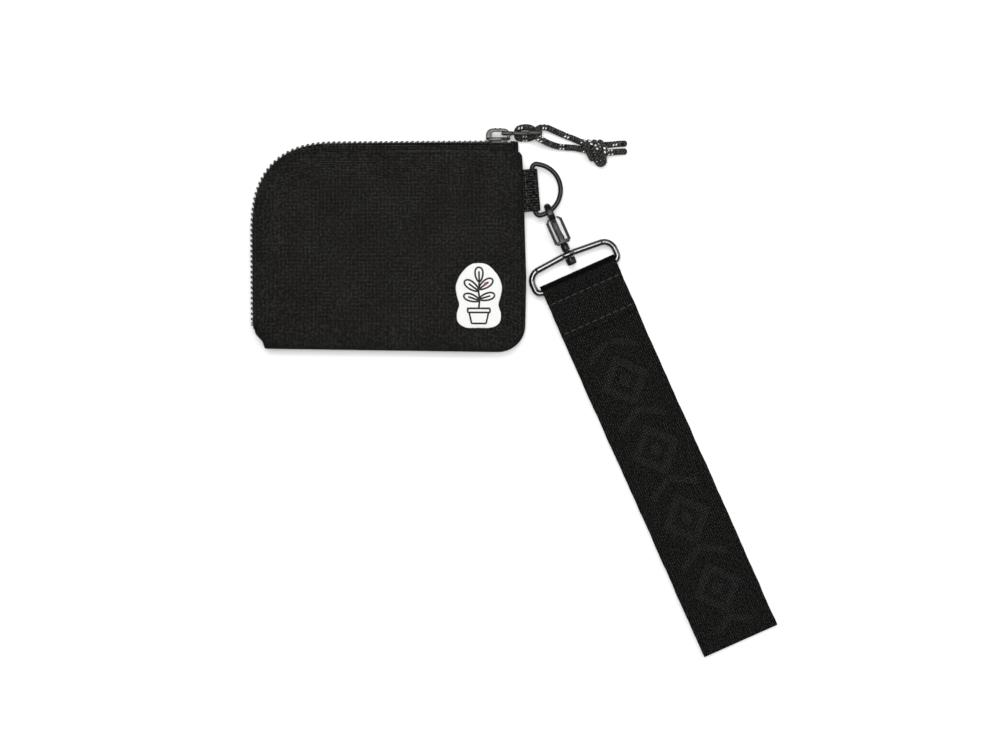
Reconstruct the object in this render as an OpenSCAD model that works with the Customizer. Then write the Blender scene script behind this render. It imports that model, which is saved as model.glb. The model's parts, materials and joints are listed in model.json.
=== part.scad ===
// Flat zippered pouch with a webbing wrist strap, lying on its back.
// Origin: middle of the pouch, on the surface it lies on. X to the right, Y to the top, Z up.
// Millimetres.

/* [Pouch] */
// Depth of the pouch from back panel to front panel
pouch_depth = 10; // [9:0.5:11]
// Thickness of the canvas
canvas = 1.2; // [1:0.1:1.4]
// Thickness of the lining cloth
lining = 0.4; // [0.3:0.1:0.5]
// Power of the rounded zip corner: 2 is an ellipse, more is squarer
corner_power = 2.65; // [2.2:0.05:3.2]

/* [Zip] */
// Distance from one tooth to the next
tooth_pitch = 2.45; // [2:0.05:3]
// Length of the slider
slider_length = 11.4; // [10:0.1:11.6]
// Width of the slider across the zip
slider_width = 7; // [6.4:0.1:7.2]

/* [Pull cord] */
// Diameter of the pull cord
cord_d = 3; // [2.6:0.1:3]

/* [Ring and tab] */
// Width of the ring tab
tab_width = 20; // [18:0.5:21]
// Thickness of the ring tab webbing
tab_webbing = 1.2; // [1:0.1:1.3]
// Diameter of the D-ring wire
ring_wire = 2.3; // [2:0.1:2.4]
// Radius of the D-ring bow, to the middle of its wire
ring_bow = 12.3; // [12:0.1:12.6]

/* [Hook and strap loop] */
// Outer radius of the hook's bow
hook_bow = 5; // [4.8:0.1:5]
// Thickness of the hook's flat body
hook_width = 3; // [2.6:0.1:3]
// Diameter of the strap loop's wire
loop_wire = 3; // [2.6:0.1:3]
// Half of the strap loop's width, to the middle of its wire
loop_half = 21.3; // [21.2:0.1:22]

/* [Wrist strap] */
// Width of the strap webbing
strap_width = 38; // [36:0.5:38]
// Thickness of one layer of strap webbing
strap_webbing_t = 1.4; // [1.2:0.1:1.4]
// Length of the strap from fold to fold
strap_length = 193; // [150:1:220]
// Length of the sewn tail, from the fold at the loop
tail_length = 28.4; // [26:0.1:32]

/* [Hidden] */
$fn = 48;

eps = 0.01;
mid_z = pouch_depth / 2;
cloth = [0.13, 0.13, 0.12];
black_metal = [0.1, 0.1, 0.1];
grey_metal = [0.35, 0.36, 0.34];

// Pouch outline: left edge, superellipse corner, top edge, notch, right edge, round corner,
// bottom edge and the notch where the zip ends. i moves every edge inwards.
corner_x = -23;
corner_y = 5;
corner_rx = 42.5;
corner_ry = 44.7;
end_x = 60.8;
top_y = 50.1;
foot_r = 13;
function outline(i) = concat(
  [for (a = [0 : 6 : 90]) [
    corner_x - (corner_rx - i) * pow(cos(a), 2 / corner_power),
    corner_y + (corner_ry - i) * pow(sin(a), 2 / corner_power)
  ]],
  [[end_x - i, top_y - i], [end_x - i, 46.6 - i / 2], [63.3 - i, 43.6 - i / 2],
   [63.6 - i, 37], [64.3 - i, 17], [65.2 - i, -15]],
  [for (a = [0 : 15 : 90]) [51.8 + (foot_r - i) * cos(a), -37.1 - (foot_r - i) * sin(a)]],
  [[-59.6 + i, -48.4 + i], [-60.9 + i, -44.5 + i], [-63.4 + i, -41.4 + i / 2],
   [-65.2 + i, -36]]
);

// The zip runs along the left and top edges, on the upper left side of this line.
zip_line_start = [-62, -38.5];
zip_line_end = [61.2, 45.5];
module zip_side() {
  polygon([[-80, zip_line_start[1]], zip_line_start, zip_line_end, [zip_line_end[0], 80], [-80, 80]]);
}

module band(outer, inner) {
  difference() {
    polygon(outline(outer));
    polygon(outline(inner));
  }
}

// Teeth stand along the zip edge, from the bottom end to the slider.
tooth_inset = 0.7;
zip_edge = concat(
  [[-65.2 + tooth_inset, -35], [corner_x - corner_rx + tooth_inset, corner_y]],
  [for (a = [6 : 6 : 84]) [
    corner_x - (corner_rx - tooth_inset) * pow(cos(a), 2 / corner_power),
    corner_y + (corner_ry - tooth_inset) * pow(sin(a), 2 / corner_power)
  ]],
  [[corner_x, corner_y + corner_ry - tooth_inset], [end_x, top_y - tooth_inset]]
);
edge_run = [
  for (i = 0, run = 0; i < len(zip_edge);
       run = run + (i + 1 < len(zip_edge) ? norm(zip_edge[i + 1] - zip_edge[i]) : 0), i = i + 1) run
];
edge_x = [for (i = [0 : len(zip_edge) - 1]) [edge_run[i], zip_edge[i][0]]];
edge_y = [for (i = [0 : len(zip_edge) - 1]) [edge_run[i], zip_edge[i][1]]];
function on_edge(run) = [lookup(run, edge_x), lookup(run, edge_y)];
slider_x = 46;
closed_run = edge_run[len(edge_run) - 1] - (end_x - slider_x) + 6.5;

tooth_z = 1.1;
module teeth(z, shift) {
  // A cord that carries the teeth keeps them in one piece.
  cord_z = z < mid_z ? z : z + tooth_z - 0.4;
  translate([0, 0, cord_z])
    linear_extrude(0.4)
      intersection() {
        band(0.9, 1.7);
        polygon([[-80, -35], [-55, -35], [slider_x + 4, 40], [slider_x + 4, 80], [-80, 80]]);
      }
  for (run = [1 + shift : tooth_pitch : closed_run - 3]) {
    at = on_edge(run);
    ahead = on_edge(run + 0.6) - on_edge(run - 0.6);
    translate([at[0], at[1], z])
      rotate([0, 0, atan2(ahead[1], ahead[0])])
        translate([-0.6, -0.9, 0]) cube([1.2, 1.8, tooth_z]);
  }
}

tape_z = 2.7;
module tape(z_wall, z_flange) {
  // The wall of the tape stands at the edge and its flange is sewn to the panel.
  translate([0, 0, z_wall])
    linear_extrude(tape_z)
      intersection() {
        band(0.8, 1.6);
        zip_side();
      }
  translate([0, 0, z_flange])
    linear_extrude(0.5)
      intersection() {
        band(0.8, 5.5);
        zip_side();
      }
}

seam_z = 1.4;
wall = 1.2;
module seam_side_wall(z_low, z_high) {
  translate([0, 0, z_low])
    linear_extrude(z_high - z_low)
      difference() {
        band(0, wall);
        zip_side();
      }
}

module front_panel() {
  color(cloth) {
    translate([0, 0, pouch_depth - canvas]) linear_extrude(canvas) polygon(outline(0));
    seam_side_wall(mid_z + seam_z, pouch_depth - canvas + eps);
  }
}

module back_panel() {
  color(cloth) {
    linear_extrude(canvas) polygon(outline(0));
    seam_side_wall(canvas - eps, mid_z - seam_z);
  }
}

lining_gap = 0.5;
module front_lining() {
  color([0.2, 0.2, 0.2])
    translate([0, 0, pouch_depth - canvas - lining_gap - lining])
      linear_extrude(lining) polygon(outline(1.8));
}

module back_lining() {
  color([0.2, 0.2, 0.2])
    translate([0, 0, canvas + lining_gap]) linear_extrude(lining) polygon(outline(1.8));
}

module card_pocket() {
  color([0.18, 0.18, 0.18])
    translate([-52, -46, canvas + lining_gap + lining]) cube([104, 62, lining]);
}

module zip_tape_front() {
  color([0.16, 0.16, 0.16])
    tape(mid_z + tooth_z, pouch_depth - canvas - 0.5);
}

module zip_tape_back() {
  color([0.16, 0.16, 0.16])
    tape(mid_z - tooth_z - tape_z, canvas);
}

module zip_teeth_front() {
  color([0.25, 0.25, 0.25]) teeth(mid_z, 0);
}

module zip_teeth_back() {
  color([0.25, 0.25, 0.25]) teeth(mid_z - tooth_z, tooth_pitch / 2);
}

// Stops close both ends of the row of teeth.
module zip_stop_top() {
  color(grey_metal)
    translate([58, 48, mid_z - tooth_z]) cube([1.6, 2.3, 2 * tooth_z]);
}

module zip_stop_bottom() {
  color(grey_metal)
    translate([-65.5, -37.6, mid_z - tooth_z]) cube([2.2, 2, 2 * tooth_z]);
}

// The tape's ends are covered by folded canvas.
module zip_end_top() {
  color(cloth)
    translate([59.8, 46, mid_z - tooth_z]) cube([0.9, 3.8, 2 * tooth_z]);
}

module zip_end_bottom() {
  color(cloth)
    translate([-64.3, -38.4, mid_z - tooth_z]) cube([3.8, 0.7, 2 * tooth_z]);
}

module seam_binding() {
  color([0.16, 0.16, 0.16])
    difference() {
      translate([0, 0, mid_z - seam_z])
        linear_extrude(2 * seam_z)
          difference() {
            band(0.2, 2);
            zip_side();
          }
      ring_frame() translate([-9, -tab_width / 2, -seam_z - eps])
        cube([12, tab_width, 2 * seam_z + 2 * eps]);
    }
}

// The D-ring's bar lies in the fold of the tab, a few degrees off the Y axis.
ring_x = 68.6;
ring_y = 27;
ring_tilt = 4.5;
module ring_frame() {
  translate([ring_x, ring_y, mid_z]) rotate([0, 0, ring_tilt]) children();
}

ring_hole = ring_wire / 2 + 0.15;
tab_root = -7.6;
module ring_tab() {
  color([0.15, 0.15, 0.15])
    ring_frame()
      rotate([90, 0, 0])
        translate([0, 0, -tab_width / 2])
          linear_extrude(tab_width)
            difference() {
              union() {
                circle(r = ring_hole + tab_webbing);
                polygon([[0, ring_hole + tab_webbing], [-2.6, tab_webbing], [tab_root, tab_webbing],
                         [tab_root, -tab_webbing], [-2.6, -tab_webbing], [0, -ring_hole - tab_webbing]]);
              }
              circle(r = ring_hole);
            }
}

module tab_stitching() {
  color([0.1, 0.1, 0.1])
    ring_frame()
      for (side = [-1, 1])
        for (y = [-8 : 4 : 8])
          translate([-3.5, y - 1.1, side > 0 ? tab_webbing : -tab_webbing - 0.3]) cube([0.6, 2.2, 0.3]);
}

// Die-cut patch: a rounded shield around a sprig of leaves.
patch_x = 42.6;
patch_y = -23.3;
patch_t = 0.8;
patch_w = 23;
patch_h = 31;
module patch_shape(inset) {
  r = patch_w / 2 - inset;
  translate([0, (patch_h - patch_w) / 2]) circle(r = r);
  translate([0, -(patch_h - patch_w) / 2]) circle(r = r);
  square([2 * r, patch_h - patch_w], center = true);
}

module patch() {
  color([0.93, 0.93, 0.91])
    translate([patch_x, patch_y, pouch_depth]) linear_extrude(patch_t) patch_shape(0);
}

module patch_motif() {
  color([0.08, 0.08, 0.08])
    translate([patch_x, patch_y, pouch_depth + patch_t]) {
      linear_extrude(0.3) {
        difference() {
          patch_shape(1.6);
          patch_shape(2.3);
        }
        translate([-0.35, -13.5]) square([0.7, 22]);
      }
    }
}

// The slider grips the teeth between an outer and an inner plate.
bridge_y = 51.8;
module slider_body() {
  color(grey_metal) {
    outer_y = 50.9;
    inner_y = 46.7;
    plate = 0.9;
    translate([slider_x, outer_y, mid_z - slider_width / 2])
      cube([slider_length, plate, slider_width]);
    for (z = [mid_z - slider_width / 2, mid_z + slider_width / 2 - 0.8])
      translate([slider_x, outer_y - 0.6, z]) cube([slider_length, 0.6 + eps, 0.8]);
    translate([slider_x + 0.6, inner_y, mid_z - 2.4]) cube([slider_length - 1.2, plate, 4.8]);
    // The neck between the plates parts the two rows of teeth.
    translate([slider_x + slider_length - 3.2, inner_y + plate - eps, mid_z - 0.6])
      cube([2, outer_y - inner_y - plate + 2 * eps, 1.2]);
  }
}

bridge_height = 4.4;
bridge_wire = 1.2;
bridge_round = 3;
module bridge_outline(inset) {
  w = slider_length - 2 * inset;
  h = bridge_height - inset;
  r = bridge_round - inset / 2;
  translate([slider_x + inset, bridge_y]) {
    square([w, h - r]);
    translate([r, 0]) square([w - 2 * r, h]);
    for (x = [r, w - r]) translate([x, h - r]) circle(r = r);
  }
}

module slider_bridge() {
  color(grey_metal)
    translate([0, 0, mid_z - 1])
      linear_extrude(2)
        intersection() {
          difference() {
            bridge_outline(0);
            bridge_outline(bridge_wire);
          }
          translate([slider_x - 1, bridge_y]) square([slider_length + 2, 10]);
        }
}

// The puller's end bar turns inside the bridge.
pull_x = slider_x + 8;
pull_y = bridge_y + 2.1;
pull_t = 1.6;
hole_x = 69.2;
module puller() {
  color([0.22, 0.22, 0.21]) {
    translate([pull_x, pull_y, mid_z - 2.7]) cylinder(r = 0.75, h = 5.4);
    difference() {
      union() {
        translate([pull_x, pull_y - pull_t / 2, mid_z - 2.7]) cube([5, pull_t, 5.4]);
        translate([pull_x + 4.6, pull_y - pull_t / 2, mid_z - 1.7]) cube([9, pull_t, 3.4]);
        translate([hole_x - 3.4, pull_y - pull_t / 2, mid_z - 4.6]) cube([6.8, pull_t, 9.2]);
      }
      // Eye around the bridge
      translate([pull_x - 1, pull_y - pull_t, mid_z - 1.5]) cube([5, 2 * pull_t, 3]);
      // Slot for both strands of the cord
      translate([hole_x - 2.4, pull_y - pull_t, mid_z - 3.6]) cube([4.8, 2 * pull_t, 7.2]);
    }
    translate([pull_x, pull_y, mid_z - 2.7]) cylinder(r = 0.75, h = 5.4);
  }
}

// Each half of the cord starts under the puller's shank, passes through the slot, lies on
// the surface and ends in a tail past the knot.
route_a = [
  [60.8, 53.9, 1.6], [60.9, 55.6, 1.8], [61.8, 56.5, 3.3], [63.6, 56.8, 4.6], [66, 56.7, 5.8],
  [67.8, 56, 6.5], [68.9, 54.8, 6.7], [69.4, 53.5, 6.7], [70.5, 51.8, 6.3], [72.8, 50.6, 5.5],
  [76, 49.2, 4], [80, 48, 2.4], [84, 47.6, 1.7], [88, 47.3, 1.6], [92, 46.5, 2.2],
  [98, 45.3, 3.4], [104, 45, 2.4], [108, 45.4, 1.7], [112, 45.6, 1.6]
];
route_b = [
  [60.8, 53.9, 1.6], [61, 52.5, 1.6], [62.2, 51.5, 1.6], [64, 51.3, 1.7], [66, 51.1, 2.2],
  [67.7, 51.8, 2.8], [68.8, 53, 3.2], [69.2, 54.4, 3.3], [70.4, 56, 3.2], [72.4, 57, 2.8],
  [75, 56.9, 2.3], [79, 55.2, 1.8], [83, 53.5, 1.6], [88, 51.5, 1.7], [92, 49.8, 2.4],
  [98, 48.6, 3.6], [104, 48.7, 2.6], [108, 49.2, 1.8], [112, 49.4, 1.6]
];
function unit(v) = v / norm(v);
function heading(route, i, first) =
  i == 0 && is_list(first) ? first
  : unit(route[min(i + 1, len(route) - 1)] - route[max(i - 1, 0)]);
function ring_of(route, i, wire, sides, first) =
  let (
    t = heading(route, i, first),
    side = unit(cross([0, 0, 1], t)),
    up = cross(t, side)
  )
  [for (k = [0 : sides - 1])
    route[i] + wire / 2 * (cos(k * 360 / sides) * side + sin(k * 360 / sides) * up)];
// A tube along the points of a route. first is the way that its first end faces.
module tube(route, wire, sides, first) {
  n = len(route);
  polyhedron(
    points = [for (i = [0 : n - 1]) each ring_of(route, i, wire, sides, first)],
    faces = concat(
      [[for (k = [0 : sides - 1]) k]],
      [for (i = [0 : n - 2]) for (k = [0 : sides - 1])
        let (a = i * sides + k, b = i * sides + (k + 1) % sides)
        each [[a, a + sides, b + sides], [a, b + sides, b]]],
      [[for (k = [sides - 1 : -1 : 0]) (n - 1) * sides + k]]
    )
  );
}

module pull_cord_a() {
  color([0.12, 0.12, 0.12]) tube(route_a, cord_d, 8, [0, 1, 0]);
}

module pull_cord_b() {
  color([0.12, 0.12, 0.12]) tube(route_b, cord_d, 8, [0, -1, 0]);
}

module pull_knot() {
  color([0.12, 0.12, 0.12])
    hull() {
      translate([96, 46.2, 4.1]) sphere(r = 4, $fn = 24);
      translate([100.2, 44.4, 4.1]) sphere(r = 4, $fn = 24);
      translate([99.2, 41.6, 3.8]) sphere(r = 3.6, $fn = 24);
    }
}

// D-ring: a bar and a bow whose ends run into it.
bow_x = 0.5;
bow_angle = 93;
module arc(radius, from, to, wire) {
  rotate([0, 0, from])
    rotate_extrude(angle = to - from)
      translate([radius, 0]) circle(d = wire);
}

module wire_between(a, b, wire) {
  d = b - a;
  translate([a[0], a[1], 0]) rotate([0, 0, atan2(d[1], d[0])]) rotate([0, 90, 0])
    cylinder(d = wire, h = norm(d));
}

module d_ring() {
  color(black_metal)
    ring_frame() {
      wire_between([0, -ring_bow], [0, ring_bow], ring_wire);
      translate([bow_x, 0, 0]) arc(ring_bow, -bow_angle, bow_angle, ring_wire);
    }
}

// Hook and loop share one axis. It points down to the right and dips a little, because the
// hook's bow is taller than the strap. X runs along it from the tip, Y across, Z up.
tip = [74.4, 20.4, 5.3];
heading_angle = -66;
dip = 3.17;
module hook_frame() {
  translate(tip) rotate([0, dip, heading_angle]) children();
}

bow_inner = 3;
pin_x = 18;
pin_z = 1.9;
barrel_start = 19;
barrel_end = 24.4;
module hook_body() {
  color(black_metal)
    hook_frame() {
      difference() {
        rotate([90, 0, 0])
          translate([0, 0, -hook_width / 2])
            linear_extrude(hook_width)
              difference() {
                union() {
                  translate([hook_bow, 0]) circle(r = hook_bow);
                  polygon([[hook_bow, -hook_bow], [16, -4.4], [16, -3.1], [hook_bow, -3.1]]);
                  polygon([[14, -4.5], [14, -3.1], [16, -1.2], [16, 3.3], [barrel_start + 0.6, 3.3],
                           [barrel_start + 0.6, -2.4], [17, -4.3]]);
                }
                translate([hook_bow, 0]) circle(r = bow_inner);
                // Mouth of the hook, closed by the lever
                translate([hook_bow, -3.1]) square([10.9, 4.9]);
                translate([8.4, -3.1]) square([7.6, 9]);
              }
        // Slot for the lever's root
        translate([15.9, -0.95, -0.4]) cube([4.2, 1.9, 5]);
        // Pin hole
        translate([pin_x, 0, pin_z]) rotate([90, 0, 0]) cylinder(r = 0.6, h = 5, center = true);
      }
      difference() {
        translate([barrel_start + 0.6, 0, 0]) rotate([0, 90, 0])
          cylinder(r = 1.9, h = barrel_end - barrel_start - 0.6);
        translate([21, 0, 0]) rotate([0, 90, 0]) cylinder(r = 1.1, h = 5);
      }
    }
}

head_start = 27.9;
head_end = 31.5;
module swivel_stud() {
  color(black_metal)
    hook_frame() {
      translate([21, 0, 0]) rotate([0, 90, 0]) cylinder(r = 1.1, h = head_start - 21 + eps);
      translate([head_start, 0, 0]) rotate([0, 90, 0]) cylinder(r = 2.35, h = head_end - head_start);
    }
}

// The lever closes the mouth. Its ribbed wings stand beside the hook for the fingers: each
// is a straight bar whose ends turn in towards the hook.
wing_low = 1.6;
wing_t = 2;
module wing() {
  translate([0, 0, wing_low])
    linear_extrude(wing_t)
      polygon([
        [7.2, 1.9], [7.9, 3.1], [9.2, 3.8], [19, 3.8], [20.3, 3.1], [20.9, 1.95],
        [19.9, 1.95], [19.5, 2.5], [18.8, 2.75], [9.5, 2.75], [8.6, 2.4], [8.1, 1.9]
      ]);
}

module gate_lever() {
  color(grey_metal)
    hook_frame() {
      difference() {
        union() {
          // Gate
          translate([8.9, -1.2, 2.2]) cube([6.8, 2.4, 1.3]);
          // Root in the hook's slot
          translate([15, -0.75, 0.7]) cube([4.3, 1.5, 2.8]);
          // Crosspiece that carries the wings, over the hook
          translate([15, -0.75, 3.4]) cube([5.4, 1.5, 1.2]);
          translate([18.9, -3.1, 3.6]) cube([1.5, 6.2, 1]);
        }
        translate([pin_x, 0, pin_z]) rotate([90, 0, 0]) cylinder(r = 0.65, h = 5, center = true);
      }
      for (side = [0, 1]) mirror([0, side, 0]) {
        wing();
        translate([18.9, 2, 2]) cube([1.5, 1.1, 2.6]);
      }
    }
}

module gate_pin() {
  color(grey_metal)
    hook_frame()
      translate([pin_x, 0, pin_z]) rotate([90, 0, 0]) cylinder(r = 0.6, h = hook_width, center = true);
}

module gate_spring() {
  color(grey_metal)
    hook_frame()
      translate([11.5, -0.5, 1.9]) cube([3.4, 1, 0.3]);
}

// Strap loop: two arms from a flat hub, rounded shoulders, sides, rounded feet and a bar.
hub_x = 26.2;
bar_at = 38;
arm_slope = 4.5;
shoulder = 5.5;
foot = 2.6;
shoulder_x = hub_x - 0.2 + (shoulder + (loop_half - shoulder) * sin(arm_slope)) / cos(arm_slope);
loop_right = concat(
  [[hub_x - 0.2 + 2.2 * tan(arm_slope), 2.2, 0]],
  [for (i = [0 : 6]) let (a = 180 - arm_slope - i * (90 - arm_slope) / 6)
    [shoulder_x + shoulder * cos(a), loop_half - shoulder + shoulder * sin(a), 0]],
  [for (a = [90 : -22.5 : 0]) [bar_at - foot + foot * cos(a), loop_half - foot + foot * sin(a), 0]]
);
loop_left = [for (i = [len(loop_right) - 1 : -1 : 0]) [loop_right[i][0], -loop_right[i][1], 0]];

module strap_loop() {
  color(black_metal)
    hook_frame()
      difference() {
        union() {
          translate([24.7, -3, -2]) cube([2.9, 6, 4]);
          tube(concat(loop_right, loop_left), loop_wire, 16);
        }
        translate([24, 0, 0]) rotate([0, 90, 0]) cylinder(r = 1.4, h = 4);
      }
}

// The strap lies flat. X runs along it from the loop's bar, Y across, Z up.
bar_z = tip[2] - bar_at * sin(dip);
strap_shift = 0.4;
module strap_frame() {
  translate([tip[0], tip[1], 0])
    rotate([0, 0, heading_angle])
      translate([bar_at * cos(dip), strap_shift, 0])
        children();
}

fold_inner = loop_wire / 2 + 0.3;
fold_outer = fold_inner + strap_webbing_t;
strap_end = strap_length - fold_outer - strap_webbing_t;
tail_end = tail_length - fold_outer;
meet_x = 6.5;
module strap_webbing() {
  t = strap_webbing_t;
  color([0.12, 0.12, 0.12])
    strap_frame()
      rotate([90, 0, 0])
        translate([0, 0, -strap_width / 2])
          linear_extrude(strap_width)
            difference() {
              union() {
                translate([0, bar_z]) circle(r = fold_outer);
                polygon([
                  [0, 0], [strap_end, 0], [strap_end, 2 * t], [tail_end, 2 * t],
                  [tail_end, 3 * t], [5.6, 3 * t], [0, bar_z + fold_outer]
                ]);
                translate([strap_end, t]) circle(r = t);
              }
              translate([0, bar_z]) circle(r = fold_inner);
              polygon([[0, bar_z - fold_inner], [meet_x, t], [0, bar_z + fold_inner]]);
              translate([-10, -1]) square([10 + strap_end + 10, 1]);
            }
}

stitch_rows = [10, 25.4];
module strap_stitching() {
  color([0.1, 0.1, 0.1])
    strap_frame()
      for (row = stitch_rows)
        for (y = [-16 : 4 : 16])
          translate([row - fold_outer - 0.3, y - 1.3, 3 * strap_webbing_t]) cube([0.6, 2.6, 0.3]);
}

front_panel();
back_panel();
front_lining();
back_lining();
card_pocket();
zip_tape_front();
zip_tape_back();
zip_teeth_front();
zip_teeth_back();
zip_stop_top();
zip_stop_bottom();
zip_end_top();
zip_end_bottom();
seam_binding();
ring_tab();
tab_stitching();
patch();
patch_motif();
slider_body();
slider_bridge();
puller();
pull_cord_a();
pull_cord_b();
pull_knot();
d_ring();
hook_body();
swivel_stud();
gate_lever();
gate_pin();
gate_spring();
strap_loop();
strap_webbing();
strap_stitching();
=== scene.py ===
import json
import math
import bmesh
import bpy
import numpy as np
from mathutils import Matrix, Vector
from mathutils.bvhtree import BVHTree
from mathutils.geometry import delaunay_2d_cdt


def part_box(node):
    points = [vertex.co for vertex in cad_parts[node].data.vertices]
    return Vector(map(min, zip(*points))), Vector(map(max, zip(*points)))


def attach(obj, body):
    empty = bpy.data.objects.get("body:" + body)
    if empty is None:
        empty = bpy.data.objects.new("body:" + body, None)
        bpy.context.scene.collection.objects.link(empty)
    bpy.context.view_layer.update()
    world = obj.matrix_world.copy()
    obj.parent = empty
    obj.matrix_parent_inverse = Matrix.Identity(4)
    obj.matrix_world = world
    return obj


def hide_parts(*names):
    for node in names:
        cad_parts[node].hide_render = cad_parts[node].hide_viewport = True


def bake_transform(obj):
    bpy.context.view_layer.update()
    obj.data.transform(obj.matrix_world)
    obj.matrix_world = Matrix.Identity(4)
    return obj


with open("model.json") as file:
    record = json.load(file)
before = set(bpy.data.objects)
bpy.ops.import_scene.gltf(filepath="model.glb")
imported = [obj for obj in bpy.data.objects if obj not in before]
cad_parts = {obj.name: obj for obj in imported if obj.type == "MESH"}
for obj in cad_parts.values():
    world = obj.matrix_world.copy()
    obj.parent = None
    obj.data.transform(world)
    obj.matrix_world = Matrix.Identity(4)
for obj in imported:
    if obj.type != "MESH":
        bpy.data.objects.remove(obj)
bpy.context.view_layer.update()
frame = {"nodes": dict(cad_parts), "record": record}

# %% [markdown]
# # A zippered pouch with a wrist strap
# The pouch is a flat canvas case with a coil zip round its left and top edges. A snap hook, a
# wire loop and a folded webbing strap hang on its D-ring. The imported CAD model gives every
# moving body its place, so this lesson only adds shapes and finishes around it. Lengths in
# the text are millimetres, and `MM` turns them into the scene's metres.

MM = 0.001

# %% [markdown]
# ## Camera, table and light
# The pouch lies on a white table and is seen from straight above. An 85 mm lens from over a
# metre away keeps its edges parallel. Three soft boxes light it: one overhead
# draws the bright line along every wire, a wide one beyond the zip gives the soft shadow below
# each edge, and a weak one fills in from the right. The world is dim, so black metal stays black.

# %% Camera straight above the middle of the whole object
def put(kind, name, place, aim, **settings):
    if kind == "camera":
        data = bpy.data.cameras.new(name)
    else:
        data = bpy.data.lights.new(name, "AREA")
    for key, value in settings.items():
        setattr(data, key, value)
    thing = bpy.data.objects.new(name, data)
    bpy.context.scene.collection.objects.link(thing)
    facing = (Vector(aim) - Vector(place)).to_track_quat("-Z", "Y")
    thing.matrix_world = Matrix.Translation(place) @ facing.to_matrix().to_4x4()
    return thing

middle_x, middle_y, eye_height = 0.0526, -0.0561, 1.1265
camera = put("camera", "camera", (middle_x, middle_y, eye_height), (middle_x, middle_y, 0),
             lens=85, sensor_width=36, clip_end=20)
bpy.context.scene.camera = camera

# %% Three soft boxes and a dim world
for name, place, aim, watts, size_x, size_y in (
        ("overhead", (0.06, -0.04, 1.5), (0.055, -0.05, 0), 13.5, 0.55, 0.4),
        ("key", (-0.05, 0.5, 1.15), (0.05, -0.02, 0), 8.5, 1.0, 0.4),
        ("side", (0.8, 0.1, 0.6), (0.05, -0.05, 0), 2.5, 0.3, 0.9)):
    put("light", name, place, aim, energy=watts, shape="RECTANGLE", size=size_x, size_y=size_y)
world = bpy.data.worlds.new("studio")
bpy.context.scene.world = world
world.use_nodes = True
world.node_tree.nodes["Background"].inputs["Color"].default_value = (1, 1, 1, 1)
world.node_tree.nodes["Background"].inputs["Strength"].default_value = 0.26
bpy.context.scene.view_settings.view_transform = "Standard"

# %% [markdown]
# ## Shader maths written as Python
# A weave is a formula: sines, floors and masks of the coordinates. Wiring dozens of Math
# nodes by hand is hard to read, so a `Field` wraps one socket and overloads `+ - * /`, and
# each operator adds its Math node. A `Finish` is one material; its `node` method adds any
# other node. Only colour, roughness, metal and bump vary over a surface here, and a value
# that is the same everywhere is set on the shader's own socket.

# %% A socket that can be calculated with
class Field:
    def __init__(self, finish, socket):
        self.finish, self.socket = finish, socket

    def math(self, operation, *others, swapped=False):
        values = [*others, self] if swapped else [self, *others]
        return self.finish.node("ShaderNodeMath", {"operation": operation}, values)

    def __add__(self, b): return self.math("ADD", b)
    def __sub__(self, b): return self.math("SUBTRACT", b)
    def __mul__(self, b): return self.math("MULTIPLY", b)
    def __truediv__(self, b): return self.math("DIVIDE", b)
    def __radd__(self, b): return self.math("ADD", b)
    def __rsub__(self, b): return self.math("SUBTRACT", b, swapped=True)
    def __abs__(self): return self.math("ABSOLUTE")
    def frac(self): return self.math("FRACT")
    def floor(self): return self.math("FLOOR")
    def sin(self): return self.math("SINE")
    def power(self, b): return self.math("POWER", b)
    def below(self, b): return self.math("LESS_THAN", b)
    def above(self, b): return self.math("GREATER_THAN", b)
    def least(self, b): return self.math("MINIMUM", b)
    def most(self, b): return self.math("MAXIMUM", b)

    def soft(self, low, high):
        # 0 below low, 1 above high, and a smooth step between
        return self.finish.node("ShaderNodeMapRange", {"interpolation_type": "SMOOTHSTEP"},
                                {"Value": self, "From Min": low, "From Max": high})

# %% A material with one way to add nodes
class Finish:
    def __init__(self, name, **same_all_over):
        self.material = bpy.data.materials.new(name)
        self.material.use_nodes = True
        self.nodes = self.material.node_tree.nodes
        self.shader = self.nodes["Principled BSDF"]
        for socket, value in same_all_over.items():
            self.shader.inputs[socket.replace("_", " ")].default_value = value

    def node(self, kind, settings, values, out=0):
        made = self.nodes.new(kind)
        for key, value in settings.items():
            setattr(made, key, value)
        pairs = values.items() if isinstance(values, dict) else enumerate(values)
        for key, value in pairs:
            if isinstance(value, Field):
                self.material.node_tree.links.new(value.socket, made.inputs[key])
            else:
                made.inputs[key].default_value = value
        return Field(self, made.outputs[out])

    def feed(self, socket, field):
        self.material.node_tree.links.new(field.socket, self.shader.inputs[socket])

    def place(self, source="Object", scale=1000.0):
        # x, y and z of the chosen coordinates, in millimetres
        raw = self.node("ShaderNodeTexCoord", {}, {}, source)
        at = self.node("ShaderNodeMapping", {}, {"Vector": raw, "Scale": (scale,) * 3})
        parts = self.nodes.new("ShaderNodeSeparateXYZ")
        self.material.node_tree.links.new(at.socket, parts.inputs[0])
        return at, *(Field(self, o) for o in parts.outputs)

    def noise(self, at, size, detail=2.0, rough=0.5):
        # size is the distance between blobs, in the units of at
        return self.node("ShaderNodeTexNoise", {}, {"Vector": at, "Scale": 1.0 / size,
                                                    "Detail": detail, "Roughness": rough})

    def blend(self, amount, dark, light):
        # dark and light are colours, or fields that hold one
        a, b = (c if isinstance(c, Field) else (*c, 1) for c in (dark, light))
        return self.node("ShaderNodeMix", {"data_type": "RGBA"}, {0: amount, 6: a, 7: b}, 2)

    def bump(self, height, depth):
        values = {"Height": height, "Distance": depth}
        self.feed("Normal", self.node("ShaderNodeBump", {}, values))

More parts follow.
